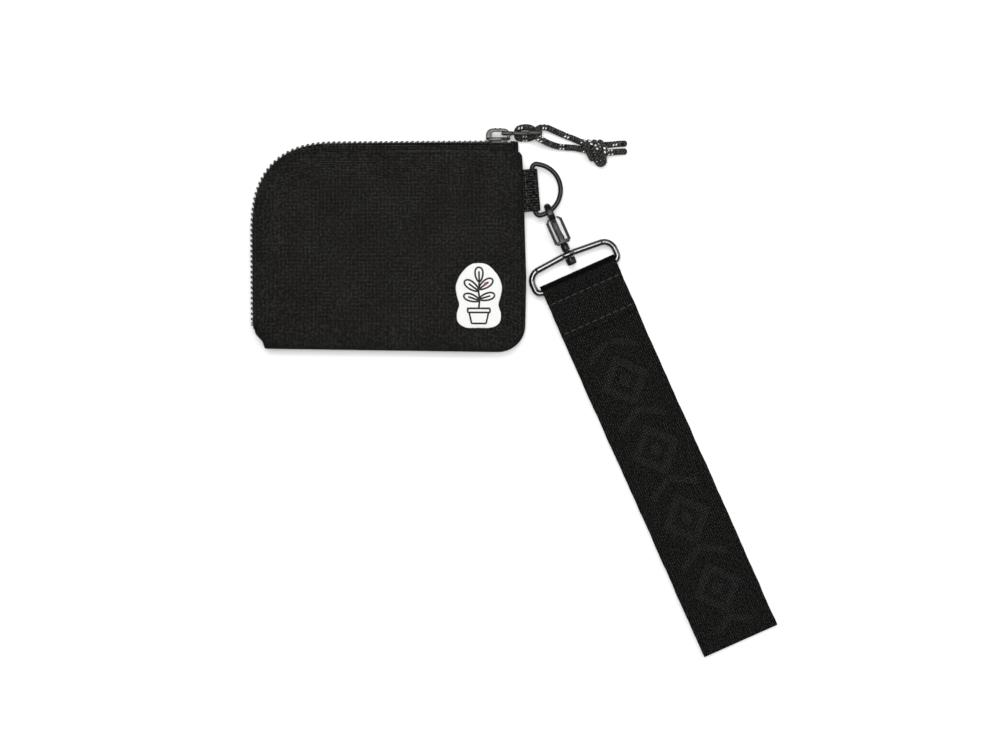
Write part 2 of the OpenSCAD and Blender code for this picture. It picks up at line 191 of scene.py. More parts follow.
# %% [markdown]
# ## Woven cloth
# Canvas is a plain weave: each thread goes over one and under the next. `plain_weave` builds
# the height of both thread systems from two sines, and takes the higher one. Light specks
# come from thread crowns that catch the light, so colour follows the same height.

# %% Height of a plain weave
def plain_weave(x, y, pitch):
    u, v = x / pitch, y / pitch
    # sin(pi * frac) is a round thread; the other sine lifts it over every second thread
    warp = (u.frac() * math.pi).sin() * (((v + u.floor()) * math.pi).sin() * 0.5 + 0.5)
    weft = (v.frac() * math.pi).sin() * (((u + v.floor() + 1) * math.pi).sin() * 0.5 + 0.5)
    return warp.most(weft)

# %% Canvas, lining and white twill
def cloth(name, pitch, dark, light, depth):
    rough, speck, cloud = 0.9, 0.35, 14.0
    made = Finish(name, Sheen_Roughness=0.5, Specular_IOR_Level=0.02)
    at, x, y, z = made.place()
    height = plain_weave(x, y + z, pitch)
    grain = made.noise(at, pitch * 1.6, 3.0)
    patchy = made.noise(at, cloud, 2.0)
    slant = abs(((x - y) / (pitch * 1.7) * math.pi).sin())
    lit = (height.power(3.5) * (grain.soft(0.42, 0.64) * (1 - speck) + speck)
           * (slant * 0.7 + 0.4) * (patchy * 0.7 + 0.6))
    made.feed("Base Color", made.blend(lit, dark, light))
    made.feed("Roughness", rough - height * 0.12)
    made.bump(height + grain * 0.35, depth)
    return made.material

canvas = cloth("canvas", 0.64, (0.0016, 0.0016, 0.0013), (0.102, 0.101, 0.093), 0.0003)
lining_cloth = cloth("lining_cloth", 0.4, (0.03, 0.03, 0.03), (0.06, 0.06, 0.058), 0.00008)
binding = cloth("binding", 0.5, (0.006, 0.006, 0.006), (0.022, 0.022, 0.021), 0.00012)
print("cloth finishes:", canvas.name, lining_cloth.name, binding.name)

# %% [markdown]
# ## Tape and webbing
# The zip tape is woven as fine as the canvas. The ring tab has ribs that run across the band.
# Their pattern has to follow the band round its fold, so it reads the piece's own UV map,
# which is laid out in millimetres: U along the band and V across it.

# %% Ribs across a band
def ribbed(name, rib, dark, light, depth, rough=0.8):
    made = Finish(name, Specular_IOR_Level=0.03)
    at, u, v, w = made.place("UV", 1.0)
    ribs = abs((v / rib * math.pi).sin())
    strand = abs((u / (rib * 0.8) * math.pi + v / rib * math.pi).sin())
    grain = made.noise(at, rib * 0.9, 2.0)
    height = ribs * 0.7 + strand * 0.3
    # colour follows the rib height: the crowns are painted lighter, a painted highlight, broken by random grain
    made.feed("Base Color", made.blend(height.power(2.0) * grain.soft(0.35, 0.7), dark, light))
    made.feed("Roughness", rough - ribs * 0.15)
    made.bump(height + grain * 0.2, depth)
    return made.material

zip_tape = cloth("zip_tape", 0.64, (0.0015, 0.0015, 0.0012), (0.095, 0.094, 0.087), 0.0003)
tab_webbing = ribbed("tab_webbing", 1.25, (0.0007, 0.0007, 0.0007), (0.065, 0.064, 0.06), 0.0004)

# %% [markdown]
# The wrist strap is 38 mm webbing with a herringbone ground: fine diagonals that turn back
# every few millimetres. A generic figure of diamonds and chevrons is woven into it tone on
# tone. In a real jacquard the figure is the same yarn floating another way, so it is the
# direction of the diagonals and the shine that change, and hardly the colour.

# %% Herringbone webbing with a woven figure
def strap_cloth():
    made = Finish("strap_webbing", Specular_IOR_Level=0.06)
    at, u, v, w = made.place("UV", 1.0)
    zigzag = abs((v / 5.4).frac() - 0.5) * 5.4
    ground = abs(((u + zigzag * 1.6) / 1.5 * math.pi).sin())
    # the figure: a diamond ring every 36 mm, with a pair of chevrons between
    step, figure_from, figure_to = 36.0, 34.0, 182.0
    cell = (u / step).frac() * step - step / 2
    spread = abs(cell) * 0.95 + abs(v)
    ring = spread.above(7.5) * spread.below(12.5)
    heart = spread.below(3.6)
    half = ((u / step + 0.5).frac() - 0.5) * step
    peak = abs(half - abs(v) * 0.55 + 3.0)
    chevron = peak.below(1.9) * abs(v).below(12.0)
    inside = u.above(figure_from) * u.below(figure_to)
    figure = (ring + heart + chevron).least(1.0) * inside
    satin = abs((u / 1.2 * math.pi).sin())
    height = ground * (1 - figure) + (satin * 0.55 + 0.5) * figure
    rib = abs((v / 1.1 * math.pi).sin())
    grain = made.noise(at, 0.8, 3.0)
    # the crowns of the weave are painted lighter, a painted highlight, and the last factor is painted shade: the
    # band goes dark where it turns round the far side of the bar, up to 0.6 mm along it
    lit = (height * 0.5 + rib * 0.5).power(3.0) * grain.soft(0.36, 0.66) * u.soft(-1.1, 0.6)
    tone = made.blend(lit, (0.0006, 0.0006, 0.0006), (0.038, 0.0375, 0.035))
    duller = made.blend(lit, (0.002, 0.002, 0.0019), (0.03, 0.0295, 0.028))
    made.feed("Base Color", made.blend(figure, tone, duller))
    made.feed("Roughness", 0.66 - figure * 0.12)
    made.bump(height + figure * 1.2 + rib * 0.5 + grain * 0.2, 0.0003)
    return made.material

strap_webbing = strap_cloth()

# %% [markdown]
# ## Thread, braid and patch cloth
# Sewing thread and embroidery thread are two-ply twists with some shine. The pull cord is a
# round braid: diamonds of black yarn wound both ways, with a pair of white picks about every
# 12 mm. On a tube whose U is the length and V the turn, a braid is two crossing diagonals.

# %% Thread
def thread_finish(name, dark, light, rough=0.5):
    made = Finish(name, Specular_IOR_Level=0.5)
    at, x, y, z = made.place()
    twist = abs(((x + y * 0.7 + z) / 0.32 * math.pi).sin())
    # the crowns of the twist are painted lighter, a painted highlight, broken by random noise
    made.feed("Base Color", made.blend(twist * made.noise(at, 0.5), dark, light))
    made.feed("Roughness", rough - twist * 0.15)
    made.bump(twist, 0.00005)
    return made.material

thread = thread_finish("thread", (0.006, 0.006, 0.006), (0.05, 0.05, 0.048), 0.55)
patch_thread = thread_finish("patch_thread", (0.002, 0.002, 0.002), (0.012, 0.012, 0.012), 0.6)
red_thread = thread_finish("red_thread", (0.42, 0.03, 0.05), (0.75, 0.1, 0.12), 0.5)

# %% Braid with white picks
def braid():
    made = Finish("cord_braid", Specular_IOR_Level=0.08)
    at, u, v, w = made.place("UV", 1.0)
    # V goes once round in 8 strands; U is millimetres along
    a = (u / 1.25 + v * 4.0) * math.pi
    b = (u / 1.25 - v * 4.0) * math.pi
    height = abs(a.sin()).most(abs(b.sin()))
    grain = made.noise(at, 0.35, 2.0)
    # the crowns of the braid are painted lighter, a painted highlight, broken by random grain; the picks below
    # are the yarn's own white
    lit = height.power(4.0) * grain.soft(0.35, 0.65)
    dark = made.blend(lit, (0.0008, 0.0008, 0.0008), (0.1, 0.1, 0.093))
    # two picks, 1.3 mm apart, on four sides of the cord
    spot = (u / 11.8).frac() * 11.8
    first = abs(spot - 4.2 - (v * 4.0).frac() * 0.8).below(0.36)
    second = abs(spot - 5.7 - (v * 4.0).frac() * 0.8).below(0.36)
    side = abs((v * 4.0 + 0.1).frac() - 0.5).below(0.22)
    pick = (first + second).least(1.0) * side
    made.feed("Base Color", made.blend(pick, dark, (0.85, 0.85, 0.82)))
    made.feed("Roughness", 0.7 - height * 0.2)
    made.bump(height * 1.0 + pick * 0.4, 0.0006)
    return made.material

cord_braid = braid()

# %% White twill of the patch
def patch_cloth():
    made = Finish("patch_twill", Sheen_Weight=0.2, Specular_IOR_Level=0.2)
    at, x, y, z = made.place()
    ridge = abs(((x + y) / 0.62 * math.pi).sin())
    fuzz = made.noise(at, 0.5, 4.0, 0.7)
    # the twill ridges are painted lighter, a painted highlight, mixed with random fuzz
    lit = ridge * 0.5 + fuzz * 0.5
    made.feed("Base Color", made.blend(lit, (0.62, 0.62, 0.61), (0.86, 0.86, 0.85)))
    made.feed("Roughness", 0.95 - ridge * 0.1)
    made.bump(ridge + fuzz * 0.8, 0.00012)
    return made.material

patch_twill = patch_cloth()

# %% [markdown]
# ## Metal and coil
# The fittings are zinc castings and bent wire. The strap's wire is glossy black, the D-ring
# and the hook are a duller black, and the slider is a lighter gunmetal. Plating is never
# even: a slow noise changes its roughness, and tiny scratches break up the reflections. The
# zip's coil is nylon monofilament, dark grey and slightly glossy.

# %% Plated metal
def plated(name, dark, light, rough, metallic=1.0, coat=0.3, wear=0.0, shine=0.5):
    made = Finish(name, Coat_Roughness=0.12, Coat_IOR=1.5, Specular_IOR_Level=shine)
    at, x, y, z = made.place()
    slow = made.noise(at, 3.5, 3.0)
    pits = made.noise(at, 0.35, 2.0)
    # scratches: noise stretched along one diagonal
    long_at = made.node("ShaderNodeMapping", {}, {"Vector": at, "Scale": (0.35, 5.0, 5.0),
                                                  "Rotation": (0, 0, 0.6)})
    streaks = made.node("ShaderNodeTexNoise", {}, {"Vector": long_at, "Scale": 1.6, "Detail": 2.0})
    scratch = streaks.soft(0.62, 0.72)
    lit = (slow * 0.6 + pits * 0.4 + scratch * wear).least(1.0)
    made.feed("Base Color", made.blend(lit, dark, light))
    made.feed("Roughness", rough + slow * 0.1 + scratch * 0.08)
    made.shader.inputs["Metallic"].default_value = metallic
    made.shader.inputs["Coat Weight"].default_value = coat
    made.bump(pits + scratch * 0.6, 0.00001)
    return made.material

black_wire = plated("black_wire", (0.002, 0.002, 0.002), (0.006, 0.006, 0.006),
                    0.12, 0.0, 1.0)
ring_wire = plated("ring_wire", (0.002, 0.002, 0.002), (0.006, 0.006, 0.006),
                   0.3, 0.0, 0.12, shine=0.14)
grey_metal = plated("grey_metal", (0.007, 0.007, 0.0065), (0.055, 0.055, 0.051),
                    0.28, 1.0, 0.1, 0.5)
dark_metal = plated("dark_metal", (0.004, 0.004, 0.004), (0.024, 0.024, 0.023),
                    0.34, 0.6, 0.08, 0.3, shine=0.25)
spring_steel = plated("spring_steel", (0.3, 0.3, 0.3), (0.45, 0.45, 0.45), 0.3)
zip_coil = plated("zip_coil", (0.012, 0.012, 0.012), (0.03, 0.03, 0.03), 0.32, 0.0, 0.25)
finishes = {"canvas": canvas, "lining_cloth": lining_cloth, "zip_tape": zip_tape, "zip_coil": zip_coil,
            "binding": binding, "tab_webbing": tab_webbing, "strap_webbing": strap_webbing,
            "thread": thread, "patch_twill": patch_twill, "patch_thread": patch_thread,
            "cord_braid": cord_braid, "grey_metal": grey_metal, "dark_metal": dark_metal,
            "black_wire": black_wire, "spring_steel": spring_steel}
print("finishes:", ", ".join(finishes))

# %% [markdown]
# ## From points to pieces
# Every piece is built from points in millimetres, in the CAD frame, so that it needs no
# fitting. `mesh_object` makes the mesh and gives it its finish, and `piece` lets it ride on a
# body and hides the CAD nodes it stands for.

# %% A mesh from points, and its place in the model
def mesh_object(name, points, faces, material, uvs=None):
    data = bpy.data.meshes.new(name)
    data.from_pydata([Vector(p) * MM for p in points], [], faces)
    if uvs is not None:
        layer = data.uv_layers.new(name="UVMap")
        for loop in data.loops:
            layer.data[loop.index].uv = uvs[loop.vertex_index]
    data.materials.append(material)
    made = bpy.data.objects.new(name, data)
    bpy.context.scene.collection.objects.link(made)
    return made

def round_off(made, angle=35):
    made.data.shade_smooth()
    made.data.set_sharp_from_angle(angle=math.radians(angle))
    return made

def face_outwards(made, weld=None):
    # doubled points within weld metres are joined first
    work = bmesh.new()
    work.from_mesh(made.data)
    if weld:
        bmesh.ops.remove_doubles(work, verts=work.verts, dist=weld)
    bmesh.ops.recalc_face_normals(work, faces=work.faces)
    work.to_mesh(made.data)
    work.free()
    return made

def grid_faces(rows, width, ring=False, loop=False):
    # quads between rows of points. A ring is a row that closes on itself, and in a loop the
    # last row meets the first
    faces = []
    for r in range(rows if loop else rows - 1):
        a, b = r * width, (r + 1) % rows * width
        for k in range(width if ring else width - 1):
            n = (k + 1) % width
            faces.append((a + k, a + n, b + n, b + k))
    return faces

def solidify(made, thickness, offset=0):
    thick = made.modifiers.new("thickness", "SOLIDIFY")
    thick.thickness, thick.offset = thickness * MM, offset
    return made

def subdivide(made):
    smooth = made.modifiers.new("smooth", "SUBSURF")
    smooth.levels = smooth.render_levels = 1
    return made

def piece(made, body, slot, *nodes):
    if body:
        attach(made, body)
    if nodes:
        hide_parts(*nodes)
    print(f"{made.name}: {len(made.data.polygons)} faces, in place of {', '.join(nodes) or 'nothing'}")
    return made

def join(name, parts):
    # one object from several, with their places kept
    data = bpy.data.meshes.new(name)
    work = bmesh.new()
    slots = []
    for part in parts:
        start = len(work.faces)
        work.from_mesh(part.data)
        work.faces.ensure_lookup_table()
        for face in work.faces[start:]:
            material = part.data.materials[face.material_index]
            if material not in slots:
                slots.append(material)
            face.material_index = slots.index(material)
    work.to_mesh(data)
    work.free()
    for material in slots:
        data.materials.append(material)
    made = bpy.data.objects.new(name, data)
    bpy.context.scene.collection.objects.link(made)
    for part in parts:
        bpy.data.objects.remove(part)
    return made

def shaped(made, frame_matrix):
    # a piece drawn in a local frame, in millimetres, goes to its place in the model
    move = frame_matrix.copy()
    move.translation = move.translation * MM
    made.data.transform(move)
    return made

# %% [markdown]
# ## Tubes
# Wires and cords are a circle swept along a line. The circle is carried from point to point
# without twisting, which keeps a braid straight. The ends are domed, and closed.

# %% A smooth line through points
def smooth_line(points, steps, closed=False):
    points = [Vector(p) for p in points]
    count = len(points)
    line = []
    for i in range(count if closed else count - 1):
        if closed:
            a, b, c, d = (points[(i + k - 1) % count] for k in range(4))
        else:
            a, b, c, d = (points[min(max(i + k - 1, 0), count - 1)] for k in range(4))
        for s in range(steps):
            t = s / steps
            line.append(0.5 * ((2 * b) + (c - a) * t + (2 * a - 5 * b + 4 * c - d) * t * t
                               + (3 * b - a - 3 * c + d) * t ** 3))
    return line if closed else line + [points[-1]]

def line_length(line):
    return sum((b - a).length for a, b in zip(line, line[1:]))

# %% A tube along a line
def tube(name, line, radius, material, sides=16, closed=False, dome=True):
    line = [Vector(p) for p in line]
    count = len(line)
    tangents = []
    for i in range(count):
        if closed:
            tangents.append((line[(i + 1) % count] - line[i - 1]).normalized())
        else:
            tangents.append((line[min(i + 1, count - 1)] - line[max(i - 1, 0)]).normalized())
    up = Vector((0, 0, 1))
    up = (up - tangents[0] * up.dot(tangents[0])).normalized()
    ups = [up]
    for i in range(1, count):
        up = (up - tangents[i] * up.dot(tangents[i])).normalized()
        ups.append(up)
    run = [0.0]
    for a, b in zip(line, line[1:]):
        run.append(run[-1] + (b - a).length)
    rings = [(line[i], tangents[i], ups[i], 1.0, run[i]) for i in range(count)]
    if dome and not closed:
        cap = [(math.sin(math.radians(a)) * 0.8, math.cos(math.radians(a)))
               for a in (18, 36, 54, 70, 82)]
        head = [(line[0] - tangents[0] * radius * s, tangents[0], ups[0], c, run[0] - radius * s)
                for s, c in reversed(cap)]
        tail = [(line[-1] + tangents[-1] * radius * s, tangents[-1], ups[-1], c, run[-1] + radius * s)
                for s, c in cap]
        rings = head + rings + tail
    points, uvs = [], []
    for at, along, raised, grow, length in rings:
        side = along.cross(raised)
        for k in range(sides + 1):
            angle = 2 * math.pi * k / sides
            points.append(at + (side * math.cos(angle) + raised * math.sin(angle)) * radius * grow)
            uvs.append((length, k / sides))
    width = sides + 1
    faces = grid_faces(len(rings), width, loop=closed)
    if not closed:
        faces.append([k for k in range(sides - 1, -1, -1)])
        faces.append([(len(rings) - 1) * width + k for k in range(sides)])
    made = mesh_object(name, points, faces, material, uvs)
    # the seam's doubled points are joined; the UV map stays open there
    face_outwards(made, weld=1e-7)
    made.data.shade_smooth()
    return made

# %% [markdown]
# ## The pull cord
# A short loop of 3 mm braid goes through the puller's slot, crosses itself and ends in an
# overhand knot with two tails, cut and melted. It is made as two halves that meet under the
# puller's shank. The first half has the points of its CAD solid. The second differs from its
# own by up to 0.7 mm at its third to sixth points, which keeps it off the zip's coil.

# %% Routes of the two halves
route_a = [
    (60.8, 53.9, 1.6), (60.9, 55.6, 1.8), (61.8, 56.5, 3.3), (63.6, 56.8, 4.6), (66, 56.7, 5.8),
    (67.8, 56, 6.5), (68.9, 54.8, 6.7), (69.4, 53.5, 6.7), (70.5, 51.8, 6.3), (72.8, 50.6, 5.5),
    (76, 49.2, 4), (80, 48, 2.4), (84, 47.6, 1.7), (88, 47.3, 1.6), (92, 46.5, 2.2),
    (98, 45.3, 3.4), (104, 45, 2.4), (108, 45.4, 1.7), (112, 45.6, 1.6)]
route_b = [
    (60.8, 53.9, 1.6), (61, 52.5, 1.6), (62.2, 51.8, 1.6), (64, 51.8, 1.6), (66, 51.8, 2.0),
    (67.7, 52.2, 2.7), (68.8, 53, 3.2), (69.2, 54.4, 3.3), (70.4, 56, 3.2), (72.4, 57, 2.8),
    (75, 56.9, 2.3), (79, 55.2, 1.8), (83, 53.5, 1.6), (88, 51.5, 1.7), (92, 49.8, 2.4),
    (98, 48.6, 3.6), (104, 48.7, 2.6), (108, 49.2, 1.8), (112, 49.4, 1.6)]
cord_d = 3.0

# %% The knot: one strand wound over the two halves
# An overhand knot tied in both strands: turns of the same braid that lean across the pair.
# The turns lie close together, lean to the right, and end in a lobe that hangs out.
turns = []
for t in np.arange(0, 3.26, 0.125):
    a = 2 * math.pi * t
    turns.append((93.4 + 2.75 * t - 1.5 * math.cos(a), 45.9 + 3.9 * math.cos(a),
                  4.2 + 2.7 * math.sin(a)))
lobe = [(101.9, 42.6, 6.2), (101.9, 40.2, 4.4), (100.2, 39.5, 2.2), (98.6, 41.2, 1.7),
        (98.4, 43.6, 1.7), (99.4, 45.6, 2.4)]
knot_line = smooth_line([(93.8, 46.2, 2.6)] + turns + lobe, 4)
pulled_tight = 0.93
knot = tube("pull_knot_braid", knot_line, cord_d / 2 * pulled_tight, cord_braid, 14)
piece(knot, "pull_cord", "cord_braid", "pull_knot")

# %% The two halves, swept along their routes
for half, route in (("pull_cord_a", route_a), ("pull_cord_b", route_b)):
    line = smooth_line(route, 5)
    made = tube(half + "_braid", line, cord_d / 2, cord_braid)
    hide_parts(half)
    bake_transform(made)
    length = line_length(line) * MM
    [p * MM for p in line]
    print(f"{half}: {length / MM:.1f} mm long")

# %% [markdown]
# ## Rows of small things
# Coil turns, stitches and ribs repeat along a line. One Geometry Nodes tree makes them all:
# the line becomes a curve, is divided at an even pitch, and a unit shape is set on every
# point, turned along the line with a little seeded wobble. The tree ends in Realize
# Instances and Set Material, and its result is kept as a plain mesh.

# %% The tree
def row_tree():
    tree = bpy.data.node_groups.new("row along a line", "GeometryNodeTree")
    io = tree.interface
    io.new_socket("Line", in_out="INPUT", socket_type="NodeSocketGeometry")
    for label, kind, value in (("Unit", "Object", None), ("Pitch", "Float", 0.001),
                               ("Wobble", "Float", 0.0), ("Seed", "Int", 7),
                               ("Finish", "Material", None)):
        made = io.new_socket(label, in_out="INPUT", socket_type="NodeSocket" + kind)
        if value is not None:
            made.default_value = value
    io.new_socket("Row", in_out="OUTPUT", socket_type="NodeSocketGeometry")

    def node(kind, settings, values):
        made = tree.nodes.new(kind)
        for key, value in settings.items():
            setattr(made, key, value)
        for key, value in values.items():
            if isinstance(value, bpy.types.NodeSocket):
                tree.links.new(value, made.inputs[key])
            else:
                made.inputs[key].default_value = value
        return made

    given = node("NodeGroupInput", {}, {}).outputs
    line = node("GeometryNodeMeshToCurve", {}, {"Mesh": given["Line"]}).outputs[0]
    points = node("GeometryNodeResampleCurve", {"mode": "LENGTH"},
                  {"Curve": line, "Length": given["Pitch"]}).outputs[0]
    unit = node("GeometryNodeObjectInfo", {"transform_space": "ORIGINAL"},
                {"Object": given["Unit"]}).outputs["Geometry"]
    along = node("GeometryNodeInputTangent", {}, {}).outputs[0]
    turn = node("FunctionNodeAlignRotationToVector", {"axis": "X", "pivot_axis": "Z"},
                {"Vector": along}).outputs[0]
    low = node("ShaderNodeMath", {"operation": "MULTIPLY"},
               {0: given["Wobble"], 1: -1.0}).outputs[0]
    chance = node("FunctionNodeRandomValue", {"data_type": "FLOAT"},
                  {2: low, 3: given["Wobble"], "Seed": given["Seed"]})
    spin = node("ShaderNodeCombineXYZ", {}, {2: chance.outputs[1]}).outputs[0]
    placed = node("GeometryNodeInstanceOnPoints", {},
                  {"Points": points, "Instance": unit, "Rotation": turn}).outputs[0]
    turned = node("GeometryNodeRotateInstances", {},
                  {"Instances": placed, "Rotation": spin}).outputs[0]
    plain = node("GeometryNodeRealizeInstances", {}, {"Geometry": turned}).outputs[0]
    shaded = node("GeometryNodeSetMaterial", {},
                  {"Geometry": plain, "Material": given["Finish"]}).outputs[0]
    node("NodeGroupOutput", {}, {"Row": shaded})
    return tree

row_along = row_tree()

# %% A plain mesh from the tree
def row(name, lines, unit, pitch, material, wobble=0.0, seed=7):
    # lines: lists of points in millimetres; the unit is an object, and is used up
    points, edges = [], []
    for line in lines:
        start = len(points)
        points += [Vector(p) * MM for p in line]
        edges += [(start + i, start + i + 1) for i in range(len(line) - 1)]
    data = bpy.data.meshes.new(name)
    data.from_pydata(points, edges, [])
    host = bpy.data.objects.new(name + "_line", data)
    bpy.context.scene.collection.objects.link(host)
    maker = host.modifiers.new("row", "NODES")
    maker.node_group = row_along
    sockets = {s.name: s.identifier for s in row_along.interface.items_tree
               if s.in_out == "INPUT"}
    for label, value in (("Unit", unit), ("Pitch", pitch * MM), ("Wobble", wobble),
                         ("Seed", seed), ("Finish", material)):
        maker[sockets[label]] = value
    bpy.context.view_layer.update()
    depsgraph = bpy.context.evaluated_depsgraph_get()
    result = bpy.data.meshes.new_from_object(host.evaluated_get(depsgraph))
    result.name = name
    made = bpy.data.objects.new(name, result)
    bpy.context.scene.collection.objects.link(made)
    bpy.data.objects.remove(host)
    bpy.data.objects.remove(unit)
    made.data.shade_smooth()
    return made

def unit_tube(points, radius, sides=6):
    return tube("unit", points, radius, thread, sides, dome=False)

def stitch_unit(length, radius):
    # a short stitch: it dives into the cloth at both ends
    h = length / 2
    return unit_tube([(-h, 0, -radius * 1.6), (-h * 0.8, 0, 0), (-h * 0.3, 0, radius * 0.35),
                      (h * 0.3, 0, radius * 0.35), (h * 0.8, 0, 0), (h, 0, -radius * 1.6)], radius)

# %% [markdown]
# ## The pouch's outline
# The left and top edges carry the zip, and meet in a squarish round corner, a superellipse.
# The other edges are sewn. `edge` gives the outline with every point moved inwards by the
# same amount, and always in the same order, so two outlines can be joined point by point.

# %% Outline, as far inwards as asked
corner_at, corner_r, corner_power = (-23.0, 5.0), (42.5, 44.7), 2.65

def rough_edge(i, deep):
    left = [(corner_at[0] - (corner_r[0] - i) * max(math.cos(math.radians(a)), 0) ** (2 / corner_power),
             corner_at[1] + (corner_r[1] - i) * math.sin(math.radians(a)) ** (2 / corner_power))
            for a in [0, 2, 4] + list(range(6, 85, 3)) + [86, 88, 90]]
    if deep:
        right = [(60.8 - i, 50.1 - i), (50.2, 37.9), (51.3, 37.2), (63.6 - i, 35),
                 (64.3 - i, 17), (65.2 - i, -15)]
        foot = [(-59.6 + i, -48.9 + i), (-49.3, -36.9), (-51.4, -36.7), (-65.2 + i, -35.4)]
    else:
        right = [(60.8 - i, 50.1 - i), (60.8 - i, 46.6), (63.3 - i, 43.6), (63.6 - i, 37),
                 (64.3 - i, 17), (65.2 - i, -15)]
        foot = [(-59.3 + i, -48.5 + i), (-60.2 + i, -45.0), (-63.6 + i, -41.6),
                (-65.2 + i, -36.5)]
    round_corner = [(51.8 + (13 - i) * math.cos(math.radians(a)),
                     -37.1 - (13 - i) * math.sin(math.radians(a))) for a in range(0, 91, 9)]
    return [np.array(p) for p in left + right + round_corner + foot]

deepest, spacing = 12.0, 1.7
outer, inner = rough_edge(0.0, False), rough_edge(deepest, True)
counts = [max(1, round(np.linalg.norm(b - a) / spacing))
          for a, b in zip(outer, outer[1:] + outer[:1])]

def finer(ring):
    made = []
    for a, b, n in zip(ring, ring[1:] + ring[:1], counts):
        made += [a + (b - a) * k / n for k in range(n)]
    return np.array(made)

outer, inner = finer(outer), finer(inner)

def edge(i):
    return outer + (inner - outer) * (np.asarray(i).reshape(-1, 1) / deepest)

print("outline points:", len(outer))

# %% How much each outline point belongs to the zip: 1 on the zip, 0 on the sewn side
zip_start, zip_end = np.array((-62.0, -38.5)), np.array((61.2, 45.5))
along_line = (zip_end - zip_start) / np.linalg.norm(zip_end - zip_start)
beyond = (outer - zip_start) @ np.array((-along_line[1], along_line[0]))
zipness = np.clip(beyond / 2.5, 0, 1)
zipness = zipness * zipness * (3 - 2 * zipness)
# smooth along the edge, so that the canvas turns into the zip over a few millimetres
for _ in range(2):
    zipness = (np.roll(zipness, 1) + 2 * zipness + np.roll(zipness, -1)) / 4

# %% [markdown]
# ## Canvas panels
# Each panel is one sheet of canvas. On the sewn sides it rolls over to the seam at half
# height. Along the zip it stops a few millimetres short, folded under onto the tape. The
# middle is filled with an even triangle net, and a short cloth simulation with the rim held
# lets the front swell a little over its lining, as a filled pouch does. The back lies on the
# table, so it stays flat. `Solidify` then gives the sheet the thickness of the canvas.

# %% Heights over the table
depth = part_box("front_panel")[1].z / MM
half_z = depth / 2
canvas_t = 1.2
held_rings = 8
print("pouch depth", round(depth, 2), "mm")

# %% A panel as rings and a filled middle
def panel(name, top, material, inset=0.0, drop=0.0):
    steps = [0, 0.25, 0.6, 1.1, 1.8, 2.6, 3.5, 4.5, 5.8, 7.2]
    points = []
    count = len(outer)
    for a in steps:
        begin = zipness * 4.4 + inset
        ring = edge(begin + a)
        roll = np.sqrt(np.clip(1 - (1 - min(a / 4.2, 1)) ** 2, 0, 1))
        fold = np.sqrt(np.clip(1 - (1 - min(a / 0.8, 1)) ** 2, 0, 1))
        sewn_z = 0.12 + (half_z - 0.12 - drop) * roll
        zip_z = half_z - 0.95 - drop + 0.75 * fold + 0.2 * min(a / 6.0, 1)
        height = sewn_z * (1 - zipness) + zip_z * zipness
        for (x, y), h in zip(ring, height):
            points.append((x, y, half_z + (h if top else -h)))
    faces = [quad[::-1] if top else quad for quad in grid_faces(len(steps), count, ring=True)]
    rim = [Vector(p[:2]) for p in points[-count:]]
    lo_x, hi_x = min(p.x for p in rim), max(p.x for p in rim)
    lo_y, hi_y = min(p.y for p in rim), max(p.y for p in rim)
    net = 2.1
    even = [Vector((x, y)) for x in np.arange(lo_x + 2, hi_x, net)
            for y in np.arange(lo_y + 2, hi_y, net)]

    def well_inside(p):
        crossings, nearest = 0, 1e9
        for a, b in zip(rim, rim[1:] + rim[:1]):
            if (a.y > p.y) != (b.y > p.y) and p.x < (b.x - a.x) * (p.y - a.y) / (b.y - a.y) + a.x:
                crossings += 1
            nearest = min(nearest, (a - p).length)
        return crossings % 2 == 1 and nearest > 1.25

    middle = [p for p in even if well_inside(p)]
    loop = [(i, (i + 1) % count) for i in range(count)]
    net_points, _, net_faces, origins, _, _ = delaunay_2d_cdt(rim + middle, loop, [], 1, 1e-5)
    level = points[-1][2]
    index = {}
    for i, (p, came) in enumerate(zip(net_points, origins)):
        if came and came[0] < count:
            index[i] = (len(steps) - 1) * count + came[0]
        else:
            index[i] = len(points)
            points.append((p.x, p.y, level))
    for face in net_faces:
        ids = [index[i] for i in face]
        faces.append(ids if top else ids[::-1])
    made = mesh_object(name, points, faces, material)
    work = bmesh.new()
    work.from_mesh(made.data)
    # a sheet: every face looks away from the middle of the pouch
    bmesh.ops.recalc_face_normals(work, faces=work.faces)
    outward = sum(f.normal.z * f.calc_area() for f in work.faces)
    if (outward > 0) != top:
        bmesh.ops.reverse_faces(work, faces=work.faces)
    work.to_mesh(made.data)
    work.free()
    made["rim_count"] = count * held_rings
    return made

# %% Cloth simulation of the front, with its rim held
def swell(made, pressure, cap, keep):
    rest = np.array([v.co for v in made.data.vertices])
    held = made.vertex_groups.new(name="held")
    held.add(list(range(keep)), 1.0, "REPLACE")
    cloth_sim = made.modifiers.new("cloth", "CLOTH")
    physics = cloth_sim.settings
    physics.quality = 6
    physics.mass = 0.0005
    physics.tension_stiffness = physics.compression_stiffness = 14
    physics.shear_stiffness = 6
    physics.bending_stiffness = 0.35
    physics.shrink_min = -0.006
    physics.use_pressure = True
    physics.uniform_pressure_force = pressure
    physics.vertex_group_mass = "held"
    physics.pin_stiffness = 1.0
    physics.effector_weights.gravity = 0
    cloth_sim.collision_settings.use_collision = False
    last_frame = 20
    cloth_sim.point_cache.frame_start, cloth_sim.point_cache.frame_end = 1, last_frame
    scene = bpy.context.scene
    for f in range(1, last_frame + 1):
        scene.frame_set(f)
    result = made.evaluated_get(bpy.context.evaluated_depsgraph_get()).data
    moved = np.array([v.co for v in result.vertices])
    made.modifiers.remove(cloth_sim)
    scene.frame_set(1)
    lift = moved - rest
    length = np.linalg.norm(lift, axis=1, keepdims=True)
    lift *= np.minimum(1.0, cap * MM / np.maximum(length, 1e-9))
    for v, p in zip(made.data.vertices, rest + lift):
        v.co = p
    made.vertex_groups.clear()
    print(f"{made.name}: the cloth rose by up to {length.max() / MM:.2f} mm")

